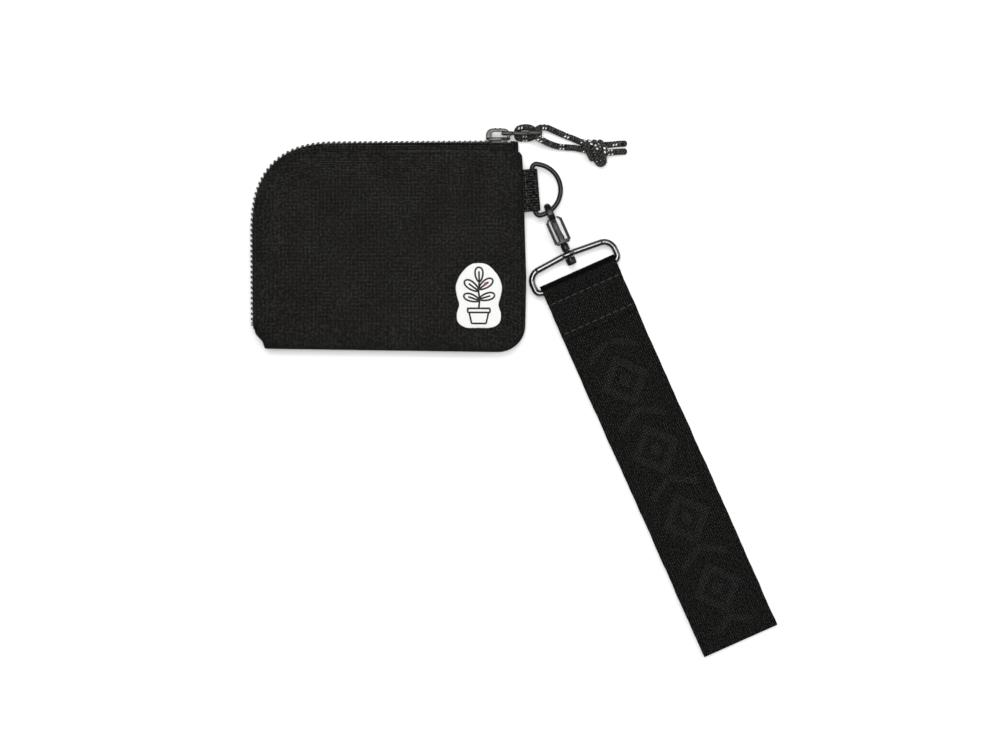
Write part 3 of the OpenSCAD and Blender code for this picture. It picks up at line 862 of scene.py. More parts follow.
# %% Gentle unevenness, for canvas that has been handled
def handled(made, amount, keep):
    for v in made.data.vertices:
        if v.index >= keep:
            x, y = v.co.x / MM, v.co.y / MM
            wave = (math.sin(x * 0.11 + 1.3 * math.sin(y * 0.05))
                    * math.sin(y * 0.13 + 0.8 * math.sin(x * 0.07 + 1))
                    + 0.5 * math.sin(x * 0.23 + y * 0.19 + 2.0))
            v.co.z += wave * amount * MM

# %% Front and back canvas
front = panel("front_canvas", True, canvas)
swell(front, 5.0, 1.3, front["rim_count"])
handled(front, 0.12, front["rim_count"])
front.data.shade_smooth()
front_shape = BVHTree.FromObject(front, bpy.context.evaluated_depsgraph_get())
subdivide(solidify(front, canvas_t, -1))
piece(front, "pouch", "canvas", "front_panel")
back = panel("back_canvas", False, canvas)
back.data.shade_smooth()
subdivide(solidify(back, canvas_t, -1))
piece(back, "pouch", "canvas", "back_panel")

def on_front(x, y, above=0.0):
    # the height of the canvas under a point, in millimetres
    hit = front_shape.ray_cast(Vector((x * MM, y * MM, 0.05)), Vector((0, 0, -1)))[0]
    return (hit.z / MM if hit else depth) + above

# %% [markdown]
# ## Lining and card pocket
# Inside, a thin lining hides the seams, and a flat pocket for cards is sewn to its back. They
# are only seen when the pouch is cut open, but they stand for the CAD solids in there.

# %% Lining sheets and the pocket
for node, top in (("front_lining", True), ("back_lining", False)):
    made = panel(node + "_cloth", top, lining_cloth, inset=2.2, drop=1.75)
    made.data.shade_smooth()
    solidify(made, 0.3, -1)
    piece(made, "pouch", "lining_cloth", node)

(card_lo, card_hi) = (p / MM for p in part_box("card_pocket"))

def pocket():
    lo, hi = card_lo, card_hi
    columns, rows = 40, 26
    xs, ys = np.linspace(lo.x + 1, hi.x - 1, columns), np.linspace(lo.y + 1, hi.y - 1, rows)
    points = [(x, y, lo.z + 0.15 + 0.12 * math.sin((y - lo.y) / 9) * math.sin((x - lo.x) / 17))
              for y in ys for x in xs]
    faces = grid_faces(rows, columns)
    made = round_off(mesh_object("card_pocket_cloth", points, faces, lining_cloth))
    return solidify(made, 0.25, 1)

card_cloth = pocket()
piece(card_cloth, "pouch", "lining_cloth", "card_pocket")

# %% [markdown]
# ## The zip
# A coil zip has two woven tapes. Each curls from its edge up to the canvas, where it is sewn
# under the fold. The coil is one nylon thread wound into turns that grip the turns of the
# other side. Only the outside of the turns shows, as a row of small bumps on the rim.

# %% A band that follows the zip side of the outline
zip_points = np.where(zipness > 0.35)[0]
first = next(i for i in zip_points if (i - 1) % len(outer) not in set(zip_points))
zip_run = [(first + k) % len(outer) for k in range(len(zip_points))]

def zip_band(name, profile, material, thickness, top):
    # profile: (inset, height over the middle) in millimetres, from the rim inwards
    points, faces, uvs = [], [], []
    across = [0.0]
    for (a, b), (c, d) in zip(profile, profile[1:]):
        across.append(across[-1] + math.hypot(c - a, d - b))
    rings = [edge(i) for i, _ in profile]
    run = 0.0
    for n, k in enumerate(zip_run):
        if n:
            run += float(np.linalg.norm(outer[k] - outer[zip_run[n - 1]]))
        for j, (inset, z) in enumerate(profile):
            points.append((rings[j][k][0], rings[j][k][1], half_z + (z if top else -z)))
            uvs.append((run, across[j]))
    w = len(profile)
    for n in range(len(zip_run) - 1):
        for j in range(w - 1):
            quad = (n * w + j, (n + 1) * w + j, (n + 1) * w + j + 1, n * w + j + 1)
            faces.append(quad if top else quad[::-1])
    made = mesh_object(name, points, faces, material, uvs)
    made.data.shade_smooth()
    return subdivide(solidify(made, thickness))

tape_profile = [(1.8, 0.5), (1.2, 0.75), (0.85, 1.3), (0.8, 2.1), (1.05, 2.9), (1.6, 3.5),
                (2.6, 3.85), (3.6, 3.95), (4.4, 3.92), (5.6, 3.7), (7.0, 3.6)]
for side, top in (("front", True), ("back", False)):
    made = zip_band(f"zip_tape_{side}_cloth", tape_profile, zip_tape, 0.45, top)
    piece(made, "pouch", "zip_tape", f"zip_tape_{side}")

# %% The coil: bent turns set along the rim
def coil_turn(top):
    # one turn in local axes: X along the zip, Y outwards, Z up
    s = 1 if top else -1
    return unit_tube([(-0.5, -1.2, 1.6 * s), (-0.35, -0.4, 1.75 * s), (-0.05, 0.1, 1.35 * s),
                      (0.2, 0.22, 0.7 * s), (0.4, 0.1, 0.15 * s), (0.5, -0.6, 0.0)], 0.62, 8)

def rim_line(inset, z, upto):
    ring = edge(inset)
    line = [(ring[k][0], ring[k][1], z) for k in zip_run if ring[k][1] > -35.2]
    return [p for p in line if not (p[0] > upto and p[1] > 40)]

slider_lo, slider_hi = (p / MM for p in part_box("slider_body"))
pitch = 1.225
for side, top, shift in (("front", True, 0.0), ("back", False, pitch)):
    line = rim_line(1.0, half_z, slider_lo.x + 3)
    # the two rows are half a pitch apart
    line[-1] = (line[-1][0] - shift, line[-1][1], line[-1][2])
    made = row(f"zip_coil_{side}", [line[::-1]], coil_turn(top), pitch * 2, zip_coil, 0.03)
    piece(made, "pouch", "zip_coil", f"zip_teeth_{side}")

# %% [markdown]
# ## Stops, folded ends and the seam
# A crimped metal stop closes each end of the coil. The tape ends would fray, so they are
# covered with a little folded canvas in the two notches of the outline. Along the sewn edges
# the raw seam is wrapped in a narrow binding, which shows as a thin welt between the panels.

# %% A soft block: rounded, pinched in the middle
def soft_block(name, lo, hi, material, pinch):
    work = bmesh.new()
    bmesh.ops.create_cube(work, size=1.0)
    bmesh.ops.subdivide_edges(work, edges=work.edges, cuts=4, use_grid_fill=True)
    size = [hi[k] - lo[k] for k in range(3)]
    for v in work.verts:
        p = [v.co[k] * 2 for k in range(3)]
        # rounded corners, and a slight waist
        r = max(abs(p[0]) ** 6 + abs(p[1]) ** 6 + abs(p[2]) ** 6, 1e-9) ** (1 / 6)
        s = max(abs(c) for c in p) / r
        waist = 1 - pinch * (1 - min(abs(p[0]), 1) ** 2)
        v.co = [((lo[k] + hi[k]) / 2 + p[k] * s * size[k] / 2 * (waist if k else 1)) * MM
                for k in range(3)]
    data = bpy.data.meshes.new(name)
    bmesh.ops.recalc_face_normals(work, faces=work.faces)
    work.to_mesh(data)
    work.free()
    data.materials.append(material)
    made = bpy.data.objects.new(name, data)
    bpy.context.scene.collection.objects.link(made)
    return round_off(made, 60)

for name in ("zip_stop_top", "zip_stop_bottom"):
    lo, hi = (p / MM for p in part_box(name))
    piece(soft_block(name + "_crimp", lo, hi, grey_metal, 0.2), "pouch", "grey_metal", name)

# %% Folded canvas over the tape ends
def folded_end(name, lo, hi, material, out):
    # a strip folded round the end of the tape: a U in section, with soft corners
    lo, hi = Vector(lo), Vector(hi)
    middle, half = (lo + hi) / 2, (hi - lo) / 2
    points = []
    across = 9
    turns = [math.radians(-90 + 180 * k / 12) for k in range(13)]
    profile = [(math.cos(a), math.sin(a)) for a in turns]
    for n in range(across):
        t = -1 + 2 * n / (across - 1)
        tuck = 1 - 0.06 * abs(t) ** 3
        for c, s in profile:
            if out == "x":
                x, y = lo.x + (hi.x - lo.x) * c * tuck, middle.y + half.y * t
            else:
                x, y = middle.x + half.x * t, hi.y - (hi.y - lo.y) * c * tuck
            points.append((x, y, middle.z + half.z * s * 1.25 * tuck))
    made = mesh_object(name, points, grid_faces(across, len(profile)), material)
    made.data.shade_smooth()
    return solidify(made, 0.5)

lo, hi = (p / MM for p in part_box("zip_end_top"))
piece(folded_end("zip_end_top_cloth", (lo.x - 2.2, lo.y - 2.4, lo.z - 1.6),
                 (hi.x + 0.4, hi.y + 0.1, hi.z + 1.6), canvas, "x"),
      "pouch", "canvas", "zip_end_top")
lo, hi = (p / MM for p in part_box("zip_end_bottom"))
piece(folded_end("zip_end_bottom_cloth", (lo.x, lo.y - 0.7, lo.z - 1.6),
                 (hi.x + 0.6, hi.y + 1.6, hi.z + 1.6), canvas, "y"),
      "pouch", "canvas", "zip_end_bottom")

# %% The welt of the seam binding
sewn = [k for k in range(len(outer)) if zipness[k] < 0.3]
start = next(k for k in sewn if (k - 1) % len(outer) not in set(sewn))
sewn = [(start + k) % len(outer) for k in range(len(sewn))]
ring = edge(0.75)
welt = tube("seam_welt", [(ring[k][0], ring[k][1], half_z) for k in sewn], 0.62, binding, 10)
piece(welt, "pouch", "binding", "seam_binding")

# %% [markdown]
# ## Ring tab
# A 20 mm strip of ribbed webbing is folded round the bar of the D-ring and sewn into the
# pouch's side seam, a few degrees off square. Its ribs run across the fold, and the fold
# itself is smooth and dark. Two short rows of stitching hold it close to the bar.

# %% Local frames of the ring and of the hook
ring_frame = Matrix.Translation((68.6, 27.0, 5.0)) @ Matrix.Rotation(math.radians(4.5), 4, "Z")
hook_x, hook_y, hook_z = 74.4, 20.4, 5.3
hook_turn, hook_tilt = math.radians(-66), math.radians(3.17)
hook_frame = (Matrix.Translation((hook_x, hook_y, hook_z)) @ Matrix.Rotation(hook_turn, 4, "Z")
              @ Matrix.Rotation(hook_tilt, 4, "Y"))

# %% A folded band from its section
def folded_band(name, section, width, material, rows, wave):
    # section: (x, z) of the band's middle surface; width runs along Y
    section = [Vector((p[0], 0, p[1])) for p in section]
    run = [0.0]
    for a, b in zip(section, section[1:]):
        run.append(run[-1] + (b - a).length)
    points, uvs = [], []
    for p, at in zip(section, run):
        for j in range(rows + 1):
            y = -width / 2 + width * j / rows
            # selvedges wander a little
            if j in (0, rows):
                y += math.copysign(wave, y) * (math.sin(at * 0.7) * 0.5 + math.sin(at * 0.23 + 1) * 0.5)
            points.append((p.x, y, p.z))
            uvs.append((at, y))
    return mesh_object(name, points, grid_faces(len(section), rows + 1), material, uvs)

def thicken(made, thickness, soft):
    solidify(made, thickness)
    bevel = made.modifiers.new("soft edges", "BEVEL")
    bevel.width, bevel.segments, bevel.angle_limit = soft * MM, 2, math.radians(50)
    made.data.shade_smooth()
    return made

tab_t = 1.2
ring_wire_d = 2.3
fold_r = ring_wire_d / 2 + 0.15 + tab_t / 2
tab_section = [(-8.6, tab_t / 2 + 0.05), (-6.5, tab_t / 2 + 0.06), (-4.6, tab_t / 2 + 0.15),
               (-3.2, tab_t / 2 + 0.45), (-1.8, 1.5)]
tab_section += [(fold_r * math.cos(math.radians(a)), fold_r * math.sin(math.radians(a)))
                for a in range(105, -106, -15)]
tab_section += [(x, -z) for x, z in reversed(tab_section[:5])]
smooth_tab = [(p.x, p.y) for p in smooth_line([(x, z, 0) for x, z in tab_section], 3)]
tab = folded_band("ring_tab_webbing", smooth_tab, 20.0, tab_webbing, 12, wave=0.05)
thicken(tab, tab_t * 0.92, 0.3)
shaped(tab, ring_frame)
piece(tab, "pouch", "tab_webbing", "ring_tab")
tab_length = line_length([Vector((x, z, 0)) for x, z in smooth_tab])
print(f"the tab's webbing is {tab_length:.0f} mm long, laid flat")

# %% Stitches across the tab, on both faces
tab_lines = [[(-3.6, -8.6, s * 1.62), (-3.6, 8.6, s * 1.62)] for s in (1, -1)]
tab_rows = row("tab_stitches", tab_lines, stitch_unit(2.3, 0.26), 2.9, thread, 0.04)
shaped(tab_rows, ring_frame)
piece(tab_rows, "pouch", "thread", "tab_stitching")

# %% [markdown]
# ## D-ring
# One length of 2.3 mm wire, bent into a bow and a straight bar with round corners. The
# wire is swept along one closed line, so no joint shows.

# %% The bent wire
bow_r = 12.3
bow = [(0.5 + bow_r * math.cos(math.radians(a)), bow_r * math.sin(math.radians(a)))
       for a in np.linspace(-78, 78, 40)]
corner_top = [(1.9, 12.25), (0.85, 11.75), (0.15, 10.7), (0.0, 9.3)]
bar_line = [(0, y) for y in (7, 3.5, 0, -3.5, -7)]
corner_low = [(x, -y) for x, y in reversed(corner_top)]
outline_d = [(x, y, 0) for x, y in bow + corner_top + bar_line + corner_low]
ring_line = smooth_line(outline_d, 3, closed=True)
d_ring = shaped(tube("d_ring_wire", ring_line, ring_wire_d / 2, ring_wire, 24, closed=True), ring_frame)
piece(d_ring, "d_ring", "black_wire", "d_ring")

# %% [markdown]
# ## Cast pieces
# The hook, its lever, the slider and the puller are small castings. Each starts as a flat
# outline in its own plane, is pushed out to its width, and gets bevelled edges, because
# tumbled metal has no sharp edge and a round edge is what catches the light. Every outline
# has the sizes of its CAD node.

# %% A plate from an outline, with round edges
def arc_points(cx, cy, r, from_deg, to_deg, n):
    return [(cx + r * math.cos(math.radians(a)), cy + r * math.sin(math.radians(a)))
            for a in np.linspace(from_deg, to_deg, n)]

sharp_angle = math.radians(40)

def plate(name, outline, low, high, material, round_edge, plane="xz", segments=4):
    # plane "xz": the outline is in X and Z and the plate reaches from low to high in Y
    def at(p, w):
        return {"xz": (p[0], w, p[1]), "xy": (p[0], p[1], w)}[plane]
    n = len(outline)
    points = [at(p, low) for p in outline] + [at(p, high) for p in outline]
    faces = [list(range(n)), list(range(2 * n - 1, n - 1, -1))]
    faces += [(k, k + n, (k + 1) % n + n, (k + 1) % n) for k in range(n)]
    made = mesh_object(name, points, faces, material)
    work = bmesh.new()
    work.from_mesh(made.data)
    bmesh.ops.recalc_face_normals(work, faces=work.faces)
    sharp = [e for e in work.edges if e.calc_face_angle(0) > sharp_angle]
    bmesh.ops.bevel(work, geom=sharp, offset=round_edge * MM, segments=segments, profile=0.5,
                    affect="EDGES", clamp_overlap=True)
    flat = [f for f in work.faces if len(f.verts) > 4]
    bmesh.ops.triangulate(work, faces=flat)
    bmesh.ops.remove_doubles(work, verts=work.verts, dist=2e-7)
    work.to_mesh(made.data)
    work.free()
    return round_off(made, 50)

# %% [markdown]
# The hook is a strip of casting bent into a C, with a block for the lever's pin and a barrel
# for the swivel. From above it shows as a narrow bar with a round tip.

# %% Hook body, in the hook's frame
hook_side = arc_points(5, 0, 5, 47, 262, 26)
hook_side += [(8, -4.84), (12, -4.62), (16, -4.4), (17, -4.3), (19.6, -2.4), (19.6, 3.2),
              (16.1, 3.2), (16.0, -1.2), (14.0, -3.1), (9, -3.1)]
hook_side += arc_points(5, 0, 3, 268, 37, 20) + [(8.35, 1.85)]
hook_c = plate("hook_c", hook_side, -1.5, 1.5, ring_wire, 0.62, segments=5)
for v in hook_c.data.vertices:
    # the tip is round when seen from above
    short = max(1.5 - v.co.x / MM, 0) / 1.5
    v.co.y *= math.sqrt(1 - 0.85 * min(short, 1) ** 2)

def turned(name, profile, material, sides=28):
    # a round piece from (x, radius) pairs, about the X axis
    points = []
    for x, r in profile:
        points += [(x, r * math.cos(2 * math.pi * k / sides), r * math.sin(2 * math.pi * k / sides))
                   for k in range(sides)]
    far_end = range(len(profile) * sides - 1, (len(profile) - 1) * sides - 1, -1)
    faces = grid_faces(len(profile), sides, ring=True) + [list(range(sides)), list(far_end)]
    return round_off(face_outwards(mesh_object(name, points, faces, material)), 40)

barrel = turned("barrel", [(19.3, 1.2), (19.4, 1.6), (19.7, 1.88), (20.1, 1.92), (20.5, 1.7),
                           (20.9, 1.7), (21.2, 1.9), (23.6, 1.9), (24.0, 1.82), (24.3, 1.55),
                           (24.35, 1.15)], ring_wire)
hook = shaped(join("snap_hook", [hook_c, barrel]), hook_frame)
piece(hook, "hook", "black_wire", "hook_body")
stud_profile = [(21.5, 0.9), (21.6, 1.08), (27.9, 1.1), (27.95, 2.0), (28.1, 2.28), (28.5, 2.35),
                (30.6, 2.35), (31.1, 2.2), (31.4, 1.75), (31.5, 0.9)]
stud = shaped(turned("swivel_rivet", stud_profile, ring_wire), hook_frame)
piece(stud, "hook", "black_wire", "swivel_stud")

# %% The lever: gate, root, crosspiece and two wings
def rectangle(x_a, x_b, y_a, y_b):
    return [(x_a, y_a), (x_b, y_a), (x_b, y_b), (x_a, y_b)]

gate_side = [(8.9, 2.35), (9.4, 2.2), (15.7, 2.2), (15.7, 0.9), (19.2, 0.7), (19.3, 2.0),
             (19.3, 3.5), (20.4, 3.7), (20.3, 4.5), (18.9, 4.55), (16.2, 4.3), (15.0, 3.6),
             (12, 3.5), (9.4, 3.3), (8.9, 2.9)]
gate = plate("gate", gate_side, -1.15, 1.15, dark_metal, 0.3)
cross = plate("cross", rectangle(18.9, 20.4, 3.65, 4.55), -3.3, 3.3, dark_metal, 0.25)
wing_side = [(7.2, 1.9), (7.5, 2.6), (7.95, 3.15), (8.6, 3.6), (9.4, 3.8), (19.0, 3.8),
             (19.7, 3.6), (20.3, 3.1), (20.75, 2.5), (20.9, 1.95), (19.9, 1.95), (19.75, 2.3),
             (19.4, 2.6), (18.8, 2.75), (9.5, 2.75), (8.9, 2.6), (8.4, 2.25), (8.1, 1.9)]
wings = [plate("wing", [(x, s * y) for x, y in wing_side], 1.6, 3.6, dark_metal, 0.2, plane="xy")
         for s in (1, -1)]
legs = [plate("leg", rectangle(19.0, 20.3, 2.1, 4.0), *sorted((s * 2.05, s * 3.1)), dark_metal, 0.2)
        for s in (1, -1)]
lever = shaped(join("snap_lever", [gate, cross] + wings + legs), hook_frame)
piece(lever, "gate", "dark_metal", "gate_lever")

# %% The pin through the hook, and the leaf spring below the lever
across_x = Matrix.Rotation(math.pi / 2, 4, "Z")
pin = turned("pin", [(-1.5, 0.35), (-1.48, 0.52), (-1.38, 0.6), (1.38, 0.6), (1.48, 0.52),
                     (1.5, 0.35)], grey_metal, 18)
pin.data.transform(Matrix.Translation(Vector((18, 0, 1.9)) * MM) @ across_x)
piece(shaped(pin, hook_frame), "hook", "grey_metal", "gate_pin")
spring = plate("lever_spring", [(11.5, 1.9), (13.2, 1.96), (14.9, 1.9), (14.9, 2.12),
                                (13.2, 2.19), (11.5, 2.12)], -0.5, 0.5, spring_steel, 0.04, segments=2)
piece(shaped(spring, hook_frame), "gate", "spring_steel", "gate_spring")

# %% [markdown]
# ## Slider and puller
# The slider has an outer and an inner plate joined by a neck, and a bridge that the puller
# hangs on. The puller is flat, with an eye round the bridge and a slot for the cord. All of
# it is small, so the edges carry most of what the eye sees.

# %% Slider plates and bridge
(sb_lo, sb_hi) = (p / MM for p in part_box("slider_body"))
x0, x1, mid = sb_lo.x, sb_hi.x, (sb_lo.z + sb_hi.z) / 2
half = (sb_hi.z - sb_lo.z) / 2
nose = [(x0, mid - half * 0.72), (x0 + 1.6, mid - half), (x1 - 4.2, mid - half),
        (x1 - 1.2, mid - half * 0.8), (x1, mid - half * 0.45), (x1, mid + half * 0.45),
        (x1 - 1.2, mid + half * 0.8), (x1 - 4.2, mid + half), (x0 + 1.6, mid + half),
        (x0, mid + half * 0.72)]
top_plate = plate("top_plate", nose, sb_hi.y - 0.95, sb_hi.y, grey_metal, 0.3)
rims = [plate("rim", rectangle(x0 + 1.2, x1 - 4.0, z, z + 0.8), sb_hi.y - 1.5, sb_hi.y - 0.5,
              grey_metal, 0.2) for z in (mid - half, mid + half - 0.8)]
low_nose = [(x0 + 0.6 + (x - x0) * 0.9, mid + (z - mid) * 0.68) for x, z in nose]
low_plate = plate("low_plate", low_nose, sb_lo.y, sb_lo.y + 0.9, grey_metal, 0.25)
neck = plate("neck", rectangle(x1 - 3.2, x1 - 1.2, mid - 0.6, mid + 0.6),
             sb_lo.y + 0.5, sb_hi.y - 0.5, grey_metal, 0.1)
piece(join("slider_plates", [top_plate, low_plate, neck] + rims), "slider", "grey_metal", "slider_body")

(br_lo, br_hi) = (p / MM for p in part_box("slider_bridge"))
bx0, bx1, by0, by1 = br_lo.x, br_hi.x, br_lo.y, br_hi.y
arch = [(bx0, by0 - 0.2)]
arch += arc_points(bx0 + 3, by1 - 3, 3, 180, 90, 8) + arc_points(bx1 - 3, by1 - 3, 3, 90, 0, 8)
arch += [(bx1, by0 - 0.2), (bx1 - 1.3, by0 - 0.2)] + arc_points(bx1 - 2.6, by1 - 2.8, 1.3, 0, 90, 5)
arch += arc_points(bx0 + 4.2, by1 - 3.2, 1.7, 90, 180, 5) + [(bx0 + 2.5, by0 - 0.2)]
bridge = plate("slider_arch", arch, br_lo.z, br_hi.z, grey_metal, 0.4, plane="xy")
rivets = []
for x in (bx0 + 4.4, bx0 + 6.6):
    head = turned("head", [(-0.5, 0.5), (0.1, 0.5), (0.3, 0.42), (0.38, 0.2)], grey_metal, 16)
    head.data.transform(Matrix.Translation(Vector((x, by1 - 0.05, mid)) * MM) @ across_x)
    rivets.append(head)
piece(join("slider_bridge_cast", [bridge] + rivets), "slider", "grey_metal", "slider_bridge")

# %% Puller: two side rails, end bar, shank and slot
(pl_lo, pl_hi) = (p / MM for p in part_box("puller"))
py0, py1, pz = 53.1, 54.7, (pl_lo.z + pl_hi.z) / 2
parts = [plate(name, rectangle(x_a, x_b, pz + z_a, pz + z_b), py0, py1, dark_metal, 0.35)
         for name, x_a, x_b, z_a, z_b in (
             ("eye_low", 54, 58.6, -2.7, -1.5), ("eye_high", 54, 58.6, 1.5, 2.7),
             ("shank", 58, 66.8, -1.7, 1.7), ("slot_near", 65.8, 66.8, -4.6, 4.6),
             ("slot_far", 71.6, 72.6, -4.6, 4.6), ("slot_low", 66, 72.4, -4.6, -3.6),
             ("slot_high", 66, 72.4, 3.6, 4.6))]
end_bar = turned("end_bar", [(-2.7, 0.4), (-2.65, 0.62), (-2.5, 0.75), (2.5, 0.75), (2.65, 0.62),
                             (2.7, 0.4)], dark_metal, 20)
end_bar.data.transform(Matrix.Translation(Vector((54, 53.9, pz)) * MM)
                       @ Matrix.Rotation(math.pi / 2, 4, "Y"))
piece(join("puller_plate", parts + [end_bar]), "puller", "dark_metal", "puller")

# %% [markdown]
# The wings of the lever are ribbed for grip. Each rib is a short slanted bar, set along the
# wing by the row tree in the hook's own frame.

# %% Ribs on both wings
def wing_ribs(name, y, z, rib_line):
    # one line of ribs along each wing
    lines = [[(9.3, s * y, z), (19.1, s * y, z)] for s in (1, -1)]
    return row(name, lines, unit_tube(rib_line, 0.23), 0.95, dark_metal)

top_rib = [(-0.5, -0.5, 0.04), (-0.17, -0.2, 0.14), (0.17, 0.2, 0.14), (0.5, 0.5, 0.04)]
side_rib = [(-0.5, 0.02, -0.9), (-0.17, 0.06, -0.3), (0.17, 0.06, 0.3), (0.5, 0.02, 0.9)]
ribs = join("lever_ribs", [wing_ribs("ribs_top", 3.28, 3.6, top_rib),
                           wing_ribs("ribs_side", 3.8, 2.6, side_rib)])
ribs.data.shade_smooth()
shaped(ribs, hook_frame)
piece(ribs, "gate", "dark_metal")

# %% [markdown]
# ## Strap loop
# One length of 3 mm wire: two sloping arms from a flat hub, round shoulders, and a straight
# bar that the strap turns on. The wire and the hub are separate sweeps on one piece.

# %% The loop's line, in the hook's frame
arm_slope = math.radians(4.5)
shoulder, foot, half_w, bar_at, hub_x = 5.5, 2.6, 21.3, 38.0, 26.2
arm_reach = (shoulder + (half_w - shoulder) * math.sin(arm_slope)) / math.cos(arm_slope)
shoulder_x = hub_x - 0.2 + arm_reach
right = [(hub_x - 0.2, 0.0), (hub_x - 0.2 + 2.2 * math.tan(arm_slope), 2.2)]
right += [(shoulder_x + shoulder * math.cos(a), half_w - shoulder + shoulder * math.sin(a))
          for a in np.linspace(math.pi - arm_slope, math.pi / 2, 10)]
right += [(bar_at - foot + foot * math.cos(a), half_w - foot + foot * math.sin(a))
          for a in np.linspace(math.pi / 2, 0, 7)]
right += [(bar_at, y) for y in (14, 9, 4)]
loop_points = [(x, y, 0) for x, y in right] + [(bar_at, 0, 0)]
loop_points += [(x, -y, 0) for x, y in reversed(right[1:])]
wire = tube("wire", smooth_line(loop_points, 4, closed=True), 1.5, black_wire, 24, closed=True)
hub = turned("hub", [(-3.1, 1.1), (-3.0, 1.55), (-2.7, 1.9), (-2.3, 2.02), (2.3, 2.02),
                     (2.7, 1.9), (3.0, 1.55), (3.1, 1.1)], black_wire)
flattened = Matrix.Diagonal((0.71, 1, 1, 1))
hub.data.transform(Matrix.Translation(Vector((26.15, 0, 0)) * MM) @ flattened @ across_x)
loop = shaped(join("strap_loop_wire", [wire, hub]), hook_frame)
loop.data.shade_smooth()
piece(loop, "loop", "black_wire", "strap_loop")

# %% [markdown]
# ## Wrist strap
# One piece of 38 mm webbing goes round the bar, lies doubled to the far fold and comes back;
# the tail is sewn down near the bar. Webbing is thick and springy, so it is modelled as a
# band with its real section, not simulated: the folds are round, the layers lie close, and
# the selvedges are soft.

# %% The section of the strap, from its inner end round to the tail
bar_z = hook_z - bar_at * math.sin(hook_tilt)
strap_frame = (Matrix.Translation((hook_x, hook_y, 0)) @ Matrix.Rotation(hook_turn, 4, "Z")
               @ Matrix.Translation((bar_at * math.cos(hook_tilt), 0.4, 0)))
t = 1.4
bore = 1.8
overall, tail_end = 193, 28.4
far = overall - (bore + t) - t
tail_x = tail_end - (bore + t)
wrap_r = bore + t / 2
# the tail on top, the turn round the bar, the bottom layer, the far fold, the middle layer
section = [(tail_x, 2.5 * t), (18, 2.5 * t), (12, 2.5 * t), (8, 2.5 * t + 0.03),
           (5.4, 2.5 * t + 0.25), (2.8, bar_z + 1.9)]
section += [(wrap_r * math.cos(a), bar_z + wrap_r * math.sin(a))
            for a in np.radians(np.arange(75, 286, 15))]
section += [(3.4, 0.86), (6.0, t / 2 + 0.02)]
section += [(x, t / 2) for x in range(12, 180, 6)] + [(far - 1.5, t / 2)]
section += [(far + t / 2 * math.cos(a) * 1.25, t + t / 2 * math.sin(a))
            for a in np.radians((-60, -30, 0, 30, 60))]
section += [(far - 1.5, 1.5 * t)] + [(x, 1.5 * t) for x in range(180, 30, -6)]
section += [(x, 1.5 * t) for x in (27, 20, 10, 7.6)]
smooth_section = [(p.x, p.y) for p in smooth_line([(x, z, 0) for x, z in section], 2)]
strap = folded_band("strap_band", smooth_section, 38.0, strap_webbing, 16, wave=0.14)

# the pattern runs the same way on both faces of the doubled strap
layer = strap.data.uv_layers[0]
for loop_corner in strap.data.loops:
    p = strap.data.vertices[loop_corner.vertex_index].co / MM
    layer.data[loop_corner.index].uv = (p.x, p.y)

# %% A little life in the strap: it bows and its faces ripple under the stitches
stitch_rows = (10 - 3.2, 25.4 - 3.2)
for v in strap.data.vertices:
    x, y, z = v.co / MM
    free = min(max((x - 30) / 30, 0), 1) * min(max((far - x) / 20, 0), 1)
    top_layer = 1.0 if z > 1.2 * t else 0.0
    ripple = 0.22 * math.sin(x * 0.045 + 0.5) + 0.07 * math.sin(x * 0.21 + y * 0.12)
    v.co.z += ripple * free * top_layer * MM
    if 2.1 * t < z and x > 6:
        near = min(abs(x - at) for at in stitch_rows)
        v.co.z -= 0.28 * math.exp(-(near / 1.2) ** 2) * MM
    v.co.y += (0.10 * math.sin(x * 0.05 + 2) + 0.05 * math.sin(x * 0.31)) * MM
strap_length = line_length([Vector((x, z, 0)) for x, z in smooth_section])
thicken(strap, t * 0.9, 0.28)
shaped(strap, strap_frame)
piece(strap, "strap", "strap_webbing", "strap_webbing")
print(f"the strap's webbing is {strap_length:.0f} mm long, laid flat")

# %% Stitch rows across the strap
rows_at = [[(x, -16.4, 3 * t - 0.02), (x, 16.4, 3 * t - 0.02)] for x in stitch_rows]
strap_rows = row("strap_stitches", rows_at, stitch_unit(2.5, 0.28), 3.4, thread, 0.05, seed=3)
shaped(strap_rows, strap_frame)
piece(strap_rows, "strap", "thread", "strap_stitching")

# %% [markdown]
# ## Patch
# A white twill patch is cut to a soft outline and sewn to the lower right of the front. Its
# picture is a plain sprig in a pot, worked in black satin stitch with one small red berry.
# Satin stitch is a row of tight parallel threads across a line, so the row tree makes it.

# %% Patch outline and surface
patch_lo, patch_hi = (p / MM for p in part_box("patch"))
patch_at = ((patch_lo.x + patch_hi.x) / 2, (patch_lo.y + patch_hi.y) / 2)
right_rim = [(3.6, 14.7), (6.6, 12.4), (9.4, 8.6), (10.9, 4.2), (10.3, -0.4), (9.3, -4.4),
             (10.4, -8.6), (9.8, -12.6), (6.2, -15.0)]
rim_points = [(0, 15.3)] + right_rim + [(0, -15.3)] + [(-x, y) for x, y in reversed(right_rim)]
patch_rim = smooth_line([(x, y, 0) for x, y in rim_points], 7, closed=True)

def on_patch(x, y, above):
    x, y = patch_at[0] + x, patch_at[1] + y
    return (x, y, on_front(x, y, above))

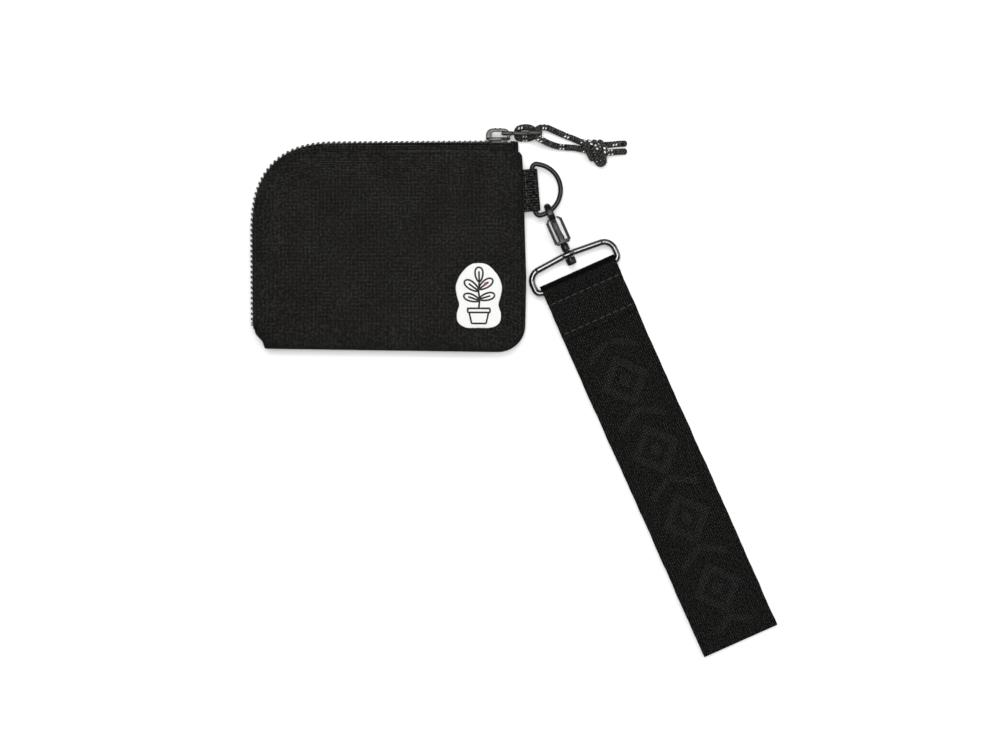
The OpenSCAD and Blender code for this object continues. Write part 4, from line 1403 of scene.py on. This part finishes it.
def patch_mesh():
    scales = [(1.0, -0.05), (1.0, 0.45), (0.985, 0.62), (0.95, 0.7)]
    scales += [(s, 0.72) for s in (0.88, 0.78, 0.64, 0.5, 0.36, 0.2, 0.08)]
    points = []
    n = len(patch_rim)
    for s, h in scales:
        for p in patch_rim:
            frayed = 1 + 0.004 * math.sin(p.x * 9 + p.y * 5) * (s > 0.97)
            points.append(on_patch(p.x * s * frayed, p.y * s * frayed, h))
    faces = grid_faces(len(scales), n, ring=True)
    faces.append([(len(scales) - 1) * n + k for k in range(n)])
    faces.append(list(range(n - 1, -1, -1)))
    return round_off(face_outwards(mesh_object("patch_cloth", points, faces, patch_twill)), 50)

piece(patch_mesh(), "pouch", "patch_twill", "patch")

# %% The picture: pot, stem and leaves, as lines
def leaf(x, y, length, width, lean):
    c, s = math.cos(math.radians(lean)), math.sin(math.radians(lean))
    outline = []
    for k in range(25):
        a = 2 * math.pi * k / 24
        u = length / 2 * (1 - math.cos(a))
        v = width / 2 * math.sin(a) * (1 - 0.25 * math.cos(a))
        outline.append((x + u * c - v * s, y + u * s + v * c))
    vein = [(x + u * c, y + u * s) for u in np.linspace(0.6, length * 0.7, 5)]
    return [outline, vein]

art = [[(-4.6, -5.6), (4.6, -5.6), (4.6, -7.4), (-4.6, -7.4), (-4.6, -5.6)],
       [(-4.0, -7.4), (-3.0, -12.2), (3.0, -12.2), (4.0, -7.4)],
       [(0, -5.6), (0.3, -2.0), (-0.1, 2.0), (0.2, 6.5)]]
for x, y, length, width, lean in ((0.2, 6.0, 6.4, 3.2, 92), (0.1, 2.8, 7.0, 3.2, 38), (-0.1, 2.0, 7.2, 3.2, 142),
                                  (0.2, -1.6, 6.6, 3.0, 18), (0.2, -2.2, 6.8, 3.0, 160)):
    art += leaf(x, y, length, width, lean)

def dense(line, step=0.3):
    made = []
    for a, b in zip(line, line[1:]):
        n = max(1, int(math.hypot(b[0] - a[0], b[1] - a[1]) / step))
        made += [(a[0] + (b[0] - a[0]) * k / n, a[1] + (b[1] - a[1]) * k / n) for k in range(n)]
    return made + [line[-1]]

drawn = [[on_patch(x * 1.14, y * 1.08, 0.82) for x, y in dense(line)] for line in art]
satin = unit_tube([(0, -0.36, -0.12), (0, -0.2, 0.08), (0, 0.2, 0.08), (0, 0.36, -0.12)], 0.13, 5)
motif = row("patch_stitches", drawn, satin, 0.24, patch_thread, 0.06, seed=11)
piece(motif, "pouch", "patch_thread", "patch_motif")
berry = [[on_patch(3.2 + 0.5 * r * math.cos(a), 5.6 + 0.5 * r * math.sin(a), 0.8)
          for a in np.linspace(0, 6.28, 16)] for r in (1.0, 0.5)]
berry_stitch = unit_tube([(0, -0.3, -0.05), (0, 0, 0.1), (0, 0.3, -0.05)], 0.14, 5)
dot = row("patch_berry", berry, berry_stitch, 0.25, red_thread, 0.2, seed=5)
piece(dot, "pouch", "patch_thread")

# %% [markdown]
# ## Table
# A plain white table, which is not part of the object.

# %% The table top
table_finish = Finish("table", Roughness=0.85, Specular_IOR_Level=0.1)
at, x, y, z = table_finish.place()
table_colour = table_finish.blend(table_finish.noise(at, 60.0), (0.86,) * 3, (0.88,) * 3)
table_finish.feed("Base Color", table_colour)
reach, table_z = 2500, -0.05
corners = [(x, y, table_z) for x, y in rectangle(-reach, reach, -reach, reach)]
table = mesh_object("table", corners, [(0, 1, 2, 3)], table_finish.material)

# %% [markdown]
# ## Finishes of the CAD nodes
# The CAD nodes that are still shown get their finish by their slot.

slot_of = {s["node"]: s["material_slot"] for s in frame["record"]["subparts"]}
for node, made in frame["nodes"].items():
    made.data.materials.clear()
    made.data.materials.append(finishes[slot_of[node]])
